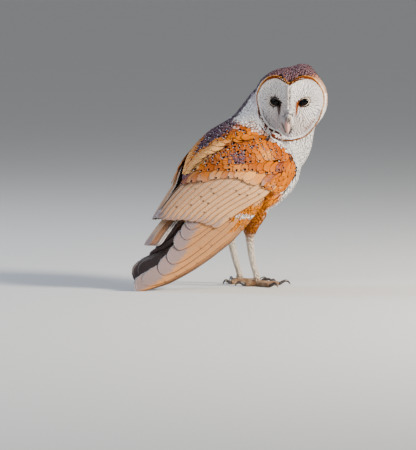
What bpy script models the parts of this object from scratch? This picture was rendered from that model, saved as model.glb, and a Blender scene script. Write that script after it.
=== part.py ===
"""Barn owl at life size, standing, wings folded, looking back over its right shoulder.

Frame: +X is where the breast points, +Y is the bird's left, +Z is up. All lengths below are
millimetres and become metres when a mesh is made. The origin ends under the middle of the
whole bird, on the plane of its feet.

Two charts place nearly everything.
  Body chart (t, d, y): t runs up the tilted body axis, d from the back to the breast, y to the left.
  Plumage chart (t, phi): a point of the smooth envelope round the folded wings, where phi turns
  from the middle of the back (0) past the flank (90) to the belly (180).
"""
import math

import bmesh
import bpy
import numpy as np
from mathutils import Matrix, Vector

MM = 0.001
GAP = 0.35

# Body: a tilted axis through the middle of the trunk.
AXIS_PITCH = math.radians(51)
AXIS_POINT = np.array([28.0, 0.0, 164.0])
RUMP_END = -126.0

# Plumage envelope: t, centre d, half depth, half width, squareness of the section.
ENVELOPE = np.array([
    (-245, -29, 21, 12, 2.6),
    (-205, -18, 37, 22, 2.6),
    (-170, -12, 50, 29, 2.5),
    (-130, -8, 57, 39, 2.3),
    (-90, -4, 61, 51, 2.25),
    (-45, 1, 64, 62, 2.35),
    (-20, 3, 62, 62, 2.4),
    (0, 5, 60, 60, 2.3),
    (18, 8, 56, 52, 2.1),
    (32, 8, 53, 39, 2.0),
    (60, 8, 47, 33, 2.0),
])
# Breast and belly: t and how far they stand towards +d.
BREAST = np.array([(-126, 6), (-100, 24), (-80, 38), (-60, 50), (-40, 60), (-20, 66), (5, 70), (23, 68), (41, 65)])
# Back under the wings: t and how far it stands towards -d.
RUMP = np.array([(-126, -24), (-110, -38), (-90, -52), (-60, -62), (-45, -63), (-30, -60)])
# Neck: t, reach to the back, reach to the throat, half width, and lean to the right under the turned head.
NECK = np.array([(29, 45, 67, 41, 0), (45, 45, 68, 34.5, -1), (60, 46, 63, 30, -3), (75, 45, 51, 28, -8),
                 (90, 34, 40, 24, -16)])

# Folded wing: depths of the three feather layers below the envelope, outer face first.
COVERT_DEPTH = (0.0, 2.0)
SECONDARY_DEPTH = (2.8, 4.1)
PRIMARY_DEPTH = (4.7, 6.1)
TUCK = 7.9
MEETING = -78.0
WING_TOP = np.array([(23, 80), (9, 59), (-9, 44), (-24, 35), (-43, 28), (-56, 23), (-73, 17), (-97, 11)])
WING_FRONT = np.array([(23, 96), (17, 112), (9, 129), (-4, 134), (-23, 128), (-34, 120)])
COVERT_TIPS = np.array([(-97, 11), (-91, 31), (-68, 53), (-56, 64), (-51, 77), (-46, 90), (-37, 106), (-34, 120)])
SECONDARY_ROOTS = np.array([(-80, 17), (-70, 40), (-54, 57), (-42, 71), (-36, 86), (-28, 104), (-23, 119)])
SECONDARY_TOP = np.array([(-80, 17), (-90, 13), (-118, 7), (-142, 3)])
SECONDARY_TIPS = np.array([(-142, 3), (-145, 28), (-138, 48), (-131, 60), (-122, 72), (-118, 87), (-110, 98)])
SECONDARY_LOW = np.array([(-23, 119), (-50, 111), (-77, 103), (-97, 101), (-110, 98)])
PRIMARY_ROOTS = np.array([(-118, 60), (-100, 80), (-76, 100), (-45, 119)])
PRIMARY_TOP = np.array([(-118, 60), (-132, 56), (-152, 59), (-169, 63), (-192, 60), (-207, 56), (-228, 60)])
PRIMARY_LOW = np.array([(-45, 119), (-57, 121), (-77, 129), (-101, 136), (-134, 133), (-167, 124), (-192, 119),
                        (-213, 110), (-225, 103)])
PRIMARY_TIPS = np.array([(-228, 60), (-233, 76), (-232, 90), (-225, 103)])
LEFT_TIP_RISE = 17.0
LEFT_SINK = 4.5

# Tail: twelve feathers closed into one narrow arched blade.
TAIL_LINE = np.array([(-88, -38), (-120, -43.5), (-150, -46.5), (-177, -47)])
TAIL_HALF_WIDTH = (14.0, 17.5)
TAIL_THICKNESS = 3.0
TAIL_ARCH = 4.0

# Head: centre, turn of the face away from +X and downward pitch.
HEAD_CENTRE = np.array([69.5, -33.5, 229.0])
HEAD_TURN = math.radians(-126)
HEAD_PITCH = math.radians(5)
HEAD_WIDEST_AT = 2.0
HEAD_BACK = 40.0
# Angles run from the top of the head; the left half of each list is mirrored.
DISC_RADIUS = np.array([(0, 28), (23, 40.5), (48, 46.4), (68, 45.9), (91, 42.5), (107, 39.3), (124, 38.6),
                        (144, 39.6), (164, 40.7), (180, 42.4)])
RIM_FORWARD = np.array([(0, 33), (23, 27), (45, 22), (80, 17), (120, 17), (150, 19), (180, 21)])
HEAD_RADIUS = np.array([(0, 44.5), (45, 47.5), (90, 45), (135, 41), (180, 39)])
CROWN_PEAK = (7.5, 21.0, 16.0)
DISC_THICKNESS = 5.0
DISC_BED = 1.5
DISC_CLEARING = 14.0
DISC_FLOOR = 27.0
FACE_RIDGE = np.array([(-34, 2), (-24, 8), (-12, 13), (8, 10), (30, 7)])
RIDGE_WIDTH = 7.5

EYE_RADIUS = 7.5
EYE_AT = (21.3, 18.2, 5.2)

# Bill: forward, up, half width and half height along each mandible.
UPPER_BILL = np.array([(33, -11, 3.8, 4.5), (38.5, -17, 3.8, 4.2), (42, -24, 3.3, 3.6), (42.6, -29, 2.3, 2.4),
                       (40.6, -33.5, 0.8, 0.8)])
LOWER_BILL = np.array([(30.5, -20, 3.0, 2.2), (34.5, -25.2, 2.7, 1.9), (36.4, -29, 2.2, 1.4), (36.6, -32, 0.9, 0.7)])

# Legs: x, y, z and radius, for the right side; the left side is its mirror.
THIGH = np.array([(27, -26, 122, 12), (24, -26.6, 110, 17), (20.3, -26, 94, 16), (16.5, -24.2, 79, 11.8),
                  (15, -23, 70, 8.5), (15, -23, 66, 7.5)])
TARSUS = np.array([(15, -23, 65.2, 5.4), (15, -23, 60, 5.2), (17, -22.5, 45, 4.7), (21.5, -21.5, 27, 4.3),
                   (26, -21, 14, 4.2), (26, -21, 10.35, 4.2)])
ANKLE_TOP = 10.0
FOOT_CENTRE = np.array([26.0, -21.0])
# Toes: heading (0 is forward, + turns outward), length, claw length.
TOES = {
    "inner": (-24, 26, 17),
    "middle": (8, 30, 16),
    "outer": (78, 25, 14),
    "hind": (-168, 15, 13),
}
TOE_START = 1.5
TOE_RADII = (4.3, 2.9)
TOE_HEIGHTS = (3.4, 2.7)
CLAW_RADIUS = 1.9
CLAW_ROOT = 1.0
CLAW_CURL = math.radians(75)

# Grid steps: enough faces for the outline, few enough for quick solids.
TRUNK_ROWS = 17
TRUNK_SPLIT = (5, 6, 10, 11, 14)
LOWEST_STEP = 168.0
NECK_GRID = (7, 24)
HEAD_GRID = (6, 28)
DISC_SHARES = np.array([0.12, 0.32, 0.52, 0.7, 0.86, 1.0])


# ---------------------------------------------------------------- curves and charts
def smooth(x, table, column=1):
    """Cubic through a table's stations, with slopes from its neighbours, held flat past its ends."""
    xs = table[:, 0].astype(float)
    ys = table[:, column].astype(float)
    slopes = np.gradient(ys, xs)
    x = np.clip(np.asarray(x, float), xs[0], xs[-1])
    i = np.clip(np.searchsorted(xs, x) - 1, 0, len(xs) - 2)
    h = xs[i + 1] - xs[i]
    s = (x - xs[i]) / h
    return (ys[i] * (1 + 2 * s) * (1 - s) ** 2 + ys[i + 1] * s * s * (3 - 2 * s)
            + slopes[i] * h * s * (1 - s) ** 2 + slopes[i + 1] * h * s * s * (s - 1))


def smooth_step(x):
    """0 below 0, 1 above 1, with level ends."""
    x = np.clip(x, 0, 1)
    return x * x * (3 - 2 * x)


def through(points, count):
    """A smooth curve through points, sampled evenly along its chords: (count, k) array."""
    points = np.asarray(points, float)
    chords = np.linalg.norm(np.diff(points, axis=0), axis=1)
    along = np.concatenate([[0], np.cumsum(chords)])
    table = np.column_stack([along, points])
    s = np.linspace(0, along[-1], count)
    return np.column_stack([smooth(s, table, k + 1) for k in range(points.shape[1])])


def patch(first, last, start, end, rows, columns):
    """Coons patch between two long edges (first, last) and two short ones (start, end)."""
    u = np.linspace(0, 1, rows)[:, None, None]
    v = np.linspace(0, 1, columns)[None, :, None]
    e0 = through(first, rows)[:, None]
    e1 = through(last, rows)[:, None]
    r0 = through(start, columns)[None]
    r1 = through(end, columns)[None]
    corners = ((1 - u) * ((1 - v) * e0[0] + v * e1[0]) + u * ((1 - v) * e0[-1] + v * e1[-1]))
    return (1 - v) * e0 + v * e1 + (1 - u) * r0 + u * r1 - corners


def body_point(t, d, y):
    """Body chart to world: t up the axis, d towards the breast, y to the left."""
    up = np.array([math.cos(AXIS_PITCH), 0, math.sin(AXIS_PITCH)])
    fore = np.array([math.sin(AXIS_PITCH), 0, -math.cos(AXIS_PITCH)])
    t, d, y = np.broadcast_arrays(t, d, y)
    return AXIS_POINT + t[..., None] * up + d[..., None] * fore + y[..., None] * np.array([0, 1, 0])


def round_section(phi, squareness):
    """Unit superellipse: towards the back and towards the side, for an angle from the back."""
    c, s = np.cos(phi), np.sin(phi)
    scale = (np.abs(c) ** squareness + np.abs(s) ** squareness) ** (-1 / squareness)
    return c * scale, s * scale


def plumage_point(chart, side, depth):
    """Plumage chart (t, phi in degrees) to world, at a depth below the envelope, on one side (+1 left)."""
    t, phi = chart[..., 0], np.radians(chart[..., 1])
    centre, half_depth, half_width, squareness = (smooth(t, ENVELOPE, k) for k in range(1, 5))
    back, out = round_section(phi, squareness)
    return body_point(t, centre - (half_depth - depth) * back, side * (half_width - depth) * out)


def head_point(forward, left, up):
    """Head chart to world: out of the face, to the bird's left, and up the head."""
    turn, pitch = HEAD_TURN, HEAD_PITCH
    out = np.array([math.cos(turn) * math.cos(pitch), math.sin(turn) * math.cos(pitch), -math.sin(pitch)])
    side = np.array([-math.sin(turn), math.cos(turn), 0])
    top = np.cross(out, side)
    forward, left, up = np.broadcast_arrays(forward, left, up)
    return HEAD_CENTRE + forward[..., None] * out + left[..., None] * side + up[..., None] * top


# ---------------------------------------------------------------- meshes
def material(name, colour, roughness, metallic=0.0):
    """Principled material of one colour."""
    made = bpy.data.materials.new(name)
    made.use_nodes = True
    shader = made.node_tree.nodes["Principled BSDF"]
    shader.inputs["Base Color"].default_value = (*colour, 1)
    shader.inputs["Roughness"].default_value = roughness
    shader.inputs["Metallic"].default_value = metallic
    return made


def add_object(name, mesh, finish, collection):
    """Object for a mesh, shaded smooth except at sharp edges."""
    mesh.shade_smooth()
    mesh.set_sharp_from_angle(angle=math.radians(40))
    piece = bpy.data.objects.new(name, mesh)
    if finish is not None:
        mesh.materials.clear()
        mesh.materials.append(finish)
    collection.objects.link(piece)
    return piece


def mesh_from(name, points, faces):
    """Closed mesh from millimetre points, its faces turned outward."""
    mesh = bpy.data.meshes.new(name)
    mesh.from_pydata([Vector(p) * MM for p in points], [], faces)
    work = bmesh.new()
    work.from_mesh(mesh)
    bmesh.ops.recalc_face_normals(work, faces=work.faces[:])
    work.to_mesh(mesh)
    work.free()
    return mesh


def loft(name, rings):
    """Closed skin over rings (k, m, 3), each end shut by a fan to its middle."""
    rings = np.asarray(rings, float)
    k, m = rings.shape[:2]
    points = np.vstack([rings.reshape(-1, 3), rings[0].mean(0), rings[-1].mean(0)])
    faces = []
    for i in range(k - 1):
        for j in range(m):
            n = (j + 1) % m
            faces.append((i * m + j, i * m + n, (i + 1) * m + n, (i + 1) * m + j))
    for j in range(m):
        n = (j + 1) % m
        faces.append((n, j, k * m))
        faces.append(((k - 1) * m + j, (k - 1) * m + n, k * m + 1))
    return mesh_from(name, points, faces)


def plate(name, outer, inner):
    """Closed plate between two grids of the same size (rows, columns, 3)."""
    rows, columns = outer.shape[:2]
    points = np.vstack([outer.reshape(-1, 3), inner.reshape(-1, 3)])
    under = rows * columns
    faces = []
    for i in range(rows - 1):
        for j in range(columns - 1):
            a = i * columns + j
            quad = (a, a + 1, a + columns + 1, a + columns)
            faces.append(quad)
            faces.append(tuple(under + q for q in reversed(quad)))
    border = [j for j in range(columns)]
    border += [i * columns + columns - 1 for i in range(1, rows)]
    border += [(rows - 1) * columns + j for j in range(columns - 2, -1, -1)]
    border += [i * columns for i in range(rows - 2, 0, -1)]
    for a, b in zip(border, border[1:] + border[:1]):
        faces.append((b, a, under + a, under + b))
    return mesh_from(name, points, faces)


def tube(name, path, radii, detail=2):
    """Round tube along a path, as a bevelled curve made a mesh with welded caps."""
    curve = bpy.data.curves.new(name, "CURVE")
    curve.dimensions = "3D"
    curve.bevel_depth = MM
    curve.bevel_resolution = detail
    curve.use_fill_caps = True
    spline = curve.splines.new("POLY")
    spline.points.add(len(path) - 1)
    for point, place, radius in zip(spline.points, path, radii):
        point.co = (*(Vector(place) * MM), 1)
        point.radius = radius
    holder = bpy.data.objects.new(name, curve)
    bpy.context.scene.collection.objects.link(holder)
    bpy.context.view_layer.update()
    mesh = bpy.data.meshes.new_from_object(holder.evaluated_get(bpy.context.evaluated_depsgraph_get()))
    bpy.data.objects.remove(holder)
    work = bmesh.new()
    work.from_mesh(mesh)
    bmesh.ops.remove_doubles(work, verts=work.verts[:], dist=0.00001)
    bmesh.ops.recalc_face_normals(work, faces=work.faces[:])
    work.to_mesh(mesh)
    work.free()
    return mesh


def swept(name, path, widths, heights, across, sides=10):
    """Tapering horn: ellipses square to a path, widths along a fixed direction across it."""
    path = np.asarray(path, float)
    tangent = np.gradient(path, axis=0)
    tangent /= np.linalg.norm(tangent, axis=1)[:, None]
    lift = np.cross(tangent, across)
    angle = np.linspace(0, 2 * math.pi, sides, endpoint=False)
    rings = (path[:, None] + np.cos(angle)[None, :, None] * widths[:, None, None] * across
             + np.sin(angle)[None, :, None] * heights[:, None, None] * lift[:, None])
    return loft(name, rings)


def ball(name, centre, radius, segments=16, rings=10):
    """Sphere mesh round a world point."""
    work = bmesh.new()
    place = Matrix.Translation(Vector(centre) * MM)
    bmesh.ops.create_uvsphere(work, u_segments=segments, v_segments=rings, radius=radius * MM, matrix=place)
    mesh = bpy.data.meshes.new(name)
    work.to_mesh(mesh)
    work.free()
    return mesh


def boolean(piece, other, operation="DIFFERENCE"):
    """Exact Boolean modifier with another object."""
    change = piece.modifiers.new(other.name, "BOOLEAN")
    change.operation = operation
    change.solver = "EXACT"
    change.object = other


# ---------------------------------------------------------------- trunk, neck and tail
def wing_edges(t):
    """Angles of the folded wing's upper and lower edges on the trunk at a station t."""
    top_edge = np.vstack([SECONDARY_TOP[:1:-1], WING_TOP[::-1]])
    low_edge = np.vstack([PRIMARY_LOW[::-1], WING_FRONT[-2::-1]])
    return smooth(t, top_edge), smooth(t, low_edge)


def trunk_rings():
    """Sections of back, flanks, breast and belly, sunk by TUCK where the wings cover them.

    The points of each section gather at the wing's edges, so that the step there stays clean.
    """
    fade = 9.0
    stations = np.linspace(RUMP_END, NECK[0, 0] - GAP, TRUNK_ROWS)
    steps = np.arange(TRUNK_SPLIT[-1] + 1)
    rings = []
    for t in stations:
        centre, half_depth, half_width, squareness = (smooth(t, ENVELOPE, k) for k in range(1, 5))
        dorsal = centre - smooth(t, RUMP) if t < RUMP[-1, 0] else half_depth
        ventral = smooth(t, BREAST) - centre
        top, low = wing_edges(t)
        level = math.cos(math.radians(low)) * half_depth / ventral
        low = min(math.degrees(math.acos(max(level, -1))), LOWEST_STEP)
        marks = (0, max(top - fade, 0.5 * top), top, low + 1, low + fade, 180)
        half_turn = np.interp(steps, (0, *TRUNK_SPLIT), marks)
        meeting = smooth_step((MEETING - t) / 25)
        cover = np.interp(half_turn, marks, (meeting, meeting, 1, 1, 0, 0))
        cover *= smooth_step((WING_TOP[0, 0] + fade - t) / fade)
        phi = np.radians(np.concatenate([half_turn, -half_turn[-2:0:-1]]))
        sunk = TUCK * np.concatenate([cover, cover[-2:0:-1]])
        taper = smooth_step((t - RUMP_END + 25) / 60)
        back, out = round_section(phi, squareness)
        reach = np.where(back > 0, dorsal, ventral) - sunk
        rings.append(body_point(t, centre - reach * back, (half_width * taper - sunk) * out))
    return rings


def neck_rings():
    """Sections of the neck, leaning to the right towards the turned head."""
    rows, sides = NECK_GRID
    t = np.linspace(NECK[0, 0], NECK[-1, 0], rows)[:, None]
    phi = np.linspace(-180, 180, sides, endpoint=False)[None, :]
    dorsal, ventral, half_width, lean = (smooth(t, NECK, k) for k in range(1, 5))
    back, out = round_section(np.radians(phi), 2.0)
    reach = np.where(back > 0, dorsal, ventral)
    return body_point(t, -reach * back, lean + half_width * out)


def tail_blade():
    """Closed tail: a narrow blade, arched across, its end rounded."""
    rows, columns = 6, 7
    line = through(TAIL_LINE, rows)
    across = np.linspace(-1, 1, columns)[None, :]
    along = np.linspace(0, 1, rows)[:, None]
    half = TAIL_HALF_WIDTH[0] + (TAIL_HALF_WIDTH[1] - TAIL_HALF_WIDTH[0]) * along
    t = line[:, :1] + 9 * along ** 4 * across ** 2
    d = line[:, 1:] + TAIL_ARCH * across ** 2
    return [body_point(t, d + shift, half * across) for shift in (0, TAIL_THICKNESS)]


# ---------------------------------------------------------------- wings
def wing_panels(side):
    """Coverts, secondaries and primaries of one folded wing as pairs of grids."""
    sheets = {
        "coverts": (patch(WING_TOP, WING_FRONT, WING_TOP[:1].repeat(2, 0) + [(0, 0), (0, 16)], COVERT_TIPS, 9, 12),
                    COVERT_DEPTH),
        "secondaries": (patch(SECONDARY_TOP, SECONDARY_LOW, SECONDARY_ROOTS, SECONDARY_TIPS, 5, 17),
                        SECONDARY_DEPTH),
        "primaries": (patch(PRIMARY_TOP, PRIMARY_LOW, PRIMARY_ROOTS, PRIMARY_TIPS, 11, 7), PRIMARY_DEPTH),
    }
    for name, (chart, depths) in sheets.items():
        if side > 0:
            chart[..., 0] += LEFT_TIP_RISE * smooth_step((-chart[..., 0] - 130) / 90)
        t = chart[..., 0]
        lift = 3.0 * smooth_step((-150 - t) / 60) if name == "primaries" else 0.0
        sink = LEFT_SINK * smooth_step((-60 - t) / 35) * smooth_step((t + 190) / 40) if side > 0 else 0 * t
        lowered = body_point(0 * t, sink, 0 * t) - AXIS_POINT
        yield name, [plumage_point(chart, side, depth - lift) + lowered for depth in depths]


# ---------------------------------------------------------------- head
def around(angle, table):
    """Value of a half-turn table at any angle, the same on both sides of the head."""
    turned = np.degrees(np.abs((angle + math.pi) % (2 * math.pi) - math.pi))
    return smooth(turned, table)


def face_height(share, angle):
    """How far the face stands forward: a shallow dish from rim to floor, with the ridge between the eyes."""
    radius = share * around(angle, DISC_RADIUS)
    left, up = radius * np.sin(angle), radius * np.cos(angle)
    rim = around(angle, RIM_FORWARD)
    dish = rim + (DISC_FLOOR - rim) * (1 - share ** 2)
    ridge = smooth(up, FACE_RIDGE) * np.exp(-(left / RIDGE_WIDTH) ** 2) * (1 - share ** 6)
    return dish + ridge


def head_rings(grow=0.0):
    """Skull and plumage of the head, from under the face round the crown to its back."""
    rows, sides = HEAD_GRID
    angle = np.linspace(-math.pi, math.pi, sides, endpoint=False)
    edge = around(angle, DISC_RADIUS)
    rim = around(angle, RIM_FORWARD)
    peak, peak_at, peak_width = CROWN_PEAK
    turned = np.degrees((angle + math.pi) % (2 * math.pi) - math.pi)
    widest = around(angle, HEAD_RADIUS) + peak * np.exp(-((turned - peak_at) / peak_width) ** 2)
    seat = DISC_THICKNESS + DISC_BED
    profile = [(share * edge, face_height(share, angle) - seat) for share in DISC_SHARES[:-1]]
    profile += [(edge + 1.0, rim - seat - 0.6), (0.5 * (edge + widest) + 1.5, 0.62 * (rim - seat))]
    for lap in np.linspace(0, 0.46 * math.pi, rows):
        profile.append((widest * math.cos(lap) ** 0.9, HEAD_WIDEST_AT - HEAD_BACK * math.sin(lap) + 0 * angle))
    rings = []
    for radius, forward in profile:
        radius = radius + grow
        forward = forward + grow * (1 if forward[0] > HEAD_WIDEST_AT else -1)
        rings.append(head_point(forward, radius * np.sin(angle), radius * np.cos(angle)))
    return rings


def disc_plate(grow=0.0, front=0.0, back=DISC_THICKNESS):
    """Facial disc: a dished plate with a heart-shaped edge, closed as a loft out over its front and back."""
    angle = np.linspace(-math.pi, math.pi, HEAD_GRID[1], endpoint=False)
    radius = around(angle, DISC_RADIUS)
    rings = []
    for depth, order in ((-front - grow, DISC_SHARES), (back + grow, DISC_SHARES[::-1])):
        for share in order:
            reach = share * radius + grow
            height = face_height(share, angle) - depth
            rings.append(head_point(height, reach * np.sin(angle), reach * np.cos(angle)))
    return rings


def mandible(name, stations, grow=0.0):
    """Half of the bill: a horn in the head's middle plane, tapering to its point."""
    line = through(stations, 7)
    path = head_point(line[:, 0], 0 * line[:, 0], line[:, 1])
    across = head_point(0.0, 1.0, 0.0) - HEAD_CENTRE
    return swept(name, path, line[:, 2] + grow, line[:, 3] + grow, across)


# ---------------------------------------------------------------- feet
def toe_path(heading, length):
    """Toe along the ground from the foot's centre, arched a little at its first joint."""
    s = np.linspace(0, 1, 5)
    turn = math.radians(heading)
    run = TOE_START + s * (length - TOE_START)
    x = FOOT_CENTRE[0] + run * math.cos(turn)
    y = FOOT_CENTRE[1] - run * math.sin(turn)
    z = TOE_HEIGHTS[0] + (TOE_HEIGHTS[1] - TOE_HEIGHTS[0]) * s
    radii = TOE_RADII[0] + (TOE_RADII[1] - TOE_RADII[0]) * s + 0.35 * np.cos(3 * math.pi * s) ** 2
    return np.column_stack([x, y, z]), radii


def claw_path(heading, length, reach):
    """Claw from a toe's end: it rises, arches over and comes down to its point just off the ground."""
    s = np.concatenate([[0], np.linspace(0, 1, 6)])
    straight = np.array([0.0] + [CLAW_ROOT] * 6)
    turn = math.radians(heading)
    run = length + GAP + straight + (reach - CLAW_ROOT) * np.sin(s * CLAW_CURL) / math.sin(CLAW_CURL)
    z = TOE_HEIGHTS[1] + 4.0 * np.sin(s * math.pi) ** 1.5 * (1 - 0.3 * s) - 1.7 * s ** 2
    radii = CLAW_RADIUS * (1 - s) ** 0.7 + 0.35
    return np.column_stack([FOOT_CENTRE[0] + run * math.cos(turn), FOOT_CENTRE[1] - run * math.sin(turn), z]), radii


def mirrored(path, side):
    """A right-side path, or its mirror on the left side."""
    return path * np.array([1, -side, 1])


# ---------------------------------------------------------------- assembly
def build():
    """Make every piece, seat them in each other, and set the origin under the bird."""
    for old in list(bpy.data.objects):
        bpy.data.objects.remove(old, do_unlink=True)
    owl = bpy.data.collections.new("barn_owl")
    cutters = bpy.data.collections.new("cutters")
    bpy.context.scene.collection.children.link(owl)
    bpy.context.scene.collection.children.link(cutters)

    white = material("white_plumage", (0.84, 0.80, 0.76), 0.9)
    face = material("face_plumage", (0.88, 0.83, 0.80), 0.9)
    buff = material("golden_buff_plumage", (0.64, 0.36, 0.13), 0.85)
    pale_buff = material("pale_buff_feathers", (0.66, 0.50, 0.36), 0.8)
    grey_buff = material("grey_buff_feathers", (0.52, 0.38, 0.28), 0.8)
    horn = material("pale_horn", (0.72, 0.55, 0.47), 0.4)
    dark_horn = material("dark_horn", (0.05, 0.04, 0.035), 0.3)
    iris = material("black_eye", (0.01, 0.008, 0.007), 0.05)
    leg_skin = material("leg_skin", (0.42, 0.34, 0.29), 0.7)

    def cutter(name, mesh):
        tool = add_object(name, mesh, None, cutters)
        tool.hide_render = True
        tool.display_type = "WIRE"
        return tool

    trunk = add_object("trunk", loft("trunk", trunk_rings()), buff, owl)
    neck = add_object("neck", loft("neck", neck_rings()), white, owl)
    head = add_object("head", loft("head", head_rings()), buff, owl)
    disc = add_object("facial_disc", loft("facial_disc", disc_plate()), face, owl)
    tail_grids = tail_blade()
    add_object("tail", plate("tail", *tail_grids), grey_buff, owl)

    boolean(neck, cutter("head_seat", loft("head_seat", head_rings(1.5 * GAP))))
    boolean(neck, cutter("disc_seat", loft("disc_seat", disc_plate(GAP, DISC_CLEARING, 1.5 * DISC_THICKNESS))))

    for name, side in (("eye_left", 1), ("eye_right", -1)):
        centre = head_point(EYE_AT[0], side * EYE_AT[1], EYE_AT[2])
        add_object(name, ball(name, centre, EYE_RADIUS), iris, owl)
        socket = cutter(name + "_socket", ball(name + "_socket", centre, EYE_RADIUS + GAP))
        boolean(disc, socket)
        boolean(head, socket)
    for name, stations in (("bill_upper", UPPER_BILL), ("bill_lower", LOWER_BILL)):
        add_object(name, mandible(name, stations), horn, owl)
        seat = cutter(name + "_seat", mandible(name + "_seat", stations, GAP))
        boolean(disc, seat)
        boolean(head, seat)

    layer_finish = {"coverts": buff, "secondaries": pale_buff, "primaries": grey_buff}
    ground = bmesh.new()
    bmesh.ops.create_cube(ground, size=1.0, matrix=Matrix.Translation((0, 0, -0.5)))
    ground_mesh = bpy.data.meshes.new("ground")
    ground.to_mesh(ground_mesh)
    ground.free()
    ground_cutter = cutter("ground", ground_mesh)

    for hand, side in (("left", 1), ("right", -1)):
        for layer, grids in wing_panels(side):
            panel = add_object(f"wing_{hand}_{layer}", plate(layer, *grids), layer_finish[layer], owl)
            if layer == "primaries":
                boolean(panel, ground_cutter)

        thigh_line = through(THIGH, 8)
        thigh_path = mirrored(thigh_line[:, :3], side)
        across = np.array([0.0, 1.0, 0.0])
        add_object(f"thigh_{hand}", swept("thigh", thigh_path, thigh_line[:, 3], thigh_line[:, 3], across, 12),
                   buff, owl)
        seat_radii = thigh_line[:, 3] + GAP
        seat = swept("thigh_seat", thigh_path, seat_radii, seat_radii, across, 12)
        boolean(trunk, cutter(f"thigh_{hand}_seat", seat))

        tarsus = tube("tarsus", mirrored(TARSUS[:, :3], side), TARSUS[:, 3])
        add_object(f"tarsus_{hand}", tarsus, leg_skin, owl)

        stub = [(*FOOT_CENTRE, 1.0), (*FOOT_CENTRE, ANKLE_TOP / 2), (*FOOT_CENTRE, ANKLE_TOP)]
        foot = add_object(f"foot_{hand}", tube("foot", mirrored(np.array(stub), side), (5.4, 5.0, 4.4)),
                          leg_skin, owl)
        for toe, (heading, length, reach) in TOES.items():
            path, radii = toe_path(heading, length)
            boolean(foot, cutter(f"toe_{toe}_{hand}", tube("toe", mirrored(path, side), radii)), "UNION")
            path, radii = claw_path(heading, length, reach)
            add_object(f"claw_{toe}_{hand}", tube("claw", mirrored(path, side), radii, 1), dark_horn, owl)
        boolean(foot, ground_cutter)

    tail_seat = [tail_grids[0] + body_point(0.0, -GAP, 0.0) - AXIS_POINT,
                 tail_grids[1] + body_point(0.0, GAP, 0.0) - AXIS_POINT]
    boolean(trunk, cutter("tail_seat", plate("tail_seat", *tail_seat)))
    stand_on_origin(owl, cutters)


def stand_on_origin(owl, cutters):
    """Move everything sideways so that the origin is under the middle of the bird's box."""
    bpy.context.view_layer.update()
    graph = bpy.context.evaluated_depsgraph_get()
    corners = []
    for piece in owl.objects:
        mesh = piece.evaluated_get(graph).to_mesh()
        points = np.empty(3 * len(mesh.vertices))
        mesh.vertices.foreach_get("co", points)
        corners += [points.reshape(-1, 3).min(0), points.reshape(-1, 3).max(0)]
    middle = (np.min(corners, axis=0) + np.max(corners, axis=0)) / 2
    shift = Matrix.Translation((-middle[0], -middle[1], 0))
    for piece in list(owl.objects) + list(cutters.objects):
        piece.data.transform(shift)


build()
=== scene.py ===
"""Looks of the life-size barn owl: skin, contour feathers, flight feathers, face, eyes, bill and claws.

Lengths are millimetres until a mesh is made. +X is where the breast points, +Y is the bird's left, +Z is up.
"""
import math

import bmesh
import bpy
import numpy as np
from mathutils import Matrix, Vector


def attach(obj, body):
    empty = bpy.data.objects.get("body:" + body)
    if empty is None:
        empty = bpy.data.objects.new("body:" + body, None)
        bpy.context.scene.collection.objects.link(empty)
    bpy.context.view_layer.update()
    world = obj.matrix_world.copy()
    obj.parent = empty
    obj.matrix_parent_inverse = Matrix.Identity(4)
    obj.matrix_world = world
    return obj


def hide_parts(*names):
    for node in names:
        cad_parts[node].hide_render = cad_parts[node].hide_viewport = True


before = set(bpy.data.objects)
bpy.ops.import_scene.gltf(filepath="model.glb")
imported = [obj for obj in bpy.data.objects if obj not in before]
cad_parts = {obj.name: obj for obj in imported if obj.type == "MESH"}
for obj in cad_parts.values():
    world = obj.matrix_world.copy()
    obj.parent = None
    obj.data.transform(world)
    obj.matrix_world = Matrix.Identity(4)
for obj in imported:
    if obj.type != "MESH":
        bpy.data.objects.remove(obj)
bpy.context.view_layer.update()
scene = bpy.context.scene
MM = 0.001

# ---------------------------------------------------------------- outline of the coat
# The owl's shape out to the tips of its feathers: one closed surface round all its solids. It isn't a piece of
# the bird. Every contour feather is settled on it, and it is taken away when the last one lies.
FLESH = ["trunk", "neck", "head", "facial_disc", "thigh_left", "thigh_right", "tarsus_left", "tarsus_right",
         "foot_left", "foot_right"]
WING_SOLIDS = [f"wing_{hand}_{layer}" for hand in ("left", "right")
               for layer in ("coverts", "secondaries", "primaries")]
VOXEL = 1.4
COAT_SMOOTHING = 7


def joined_surface(name, nodes, voxel, rounds):
    """One closed surface round several solids: their merged copies, remeshed on a voxel grid and smoothed."""
    work = bmesh.new()
    for node in nodes:
        work.from_mesh(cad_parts[node].data)
    bmesh.ops.remove_doubles(work, verts=work.verts[:], dist=0.000001)
    raw = bpy.data.meshes.new(name + "_raw")
    work.to_mesh(raw)
    work.free()
    holder = bpy.data.objects.new(name, raw)
    scene.collection.objects.link(holder)
    remesh = holder.modifiers.new("voxels", "REMESH")
    remesh.mode = "VOXEL"
    remesh.voxel_size = voxel * MM
    remesh.use_smooth_shade = True
    relax = holder.modifiers.new("relax", "SMOOTH")
    relax.iterations = rounds
    relax.factor = 0.5
    mesh = bpy.data.meshes.new_from_object(holder.evaluated_get(bpy.context.evaluated_depsgraph_get()))
    bpy.data.objects.remove(holder)
    mesh.shade_smooth()
    return mesh


level_mesh = joined_surface("coat_level", FLESH + WING_SOLIDS + ["eye_left", "eye_right"], VOXEL, COAT_SMOOTHING)
coat_level = bpy.data.objects.new("coat_level", level_mesh)
scene.collection.objects.link(coat_level)

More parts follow.
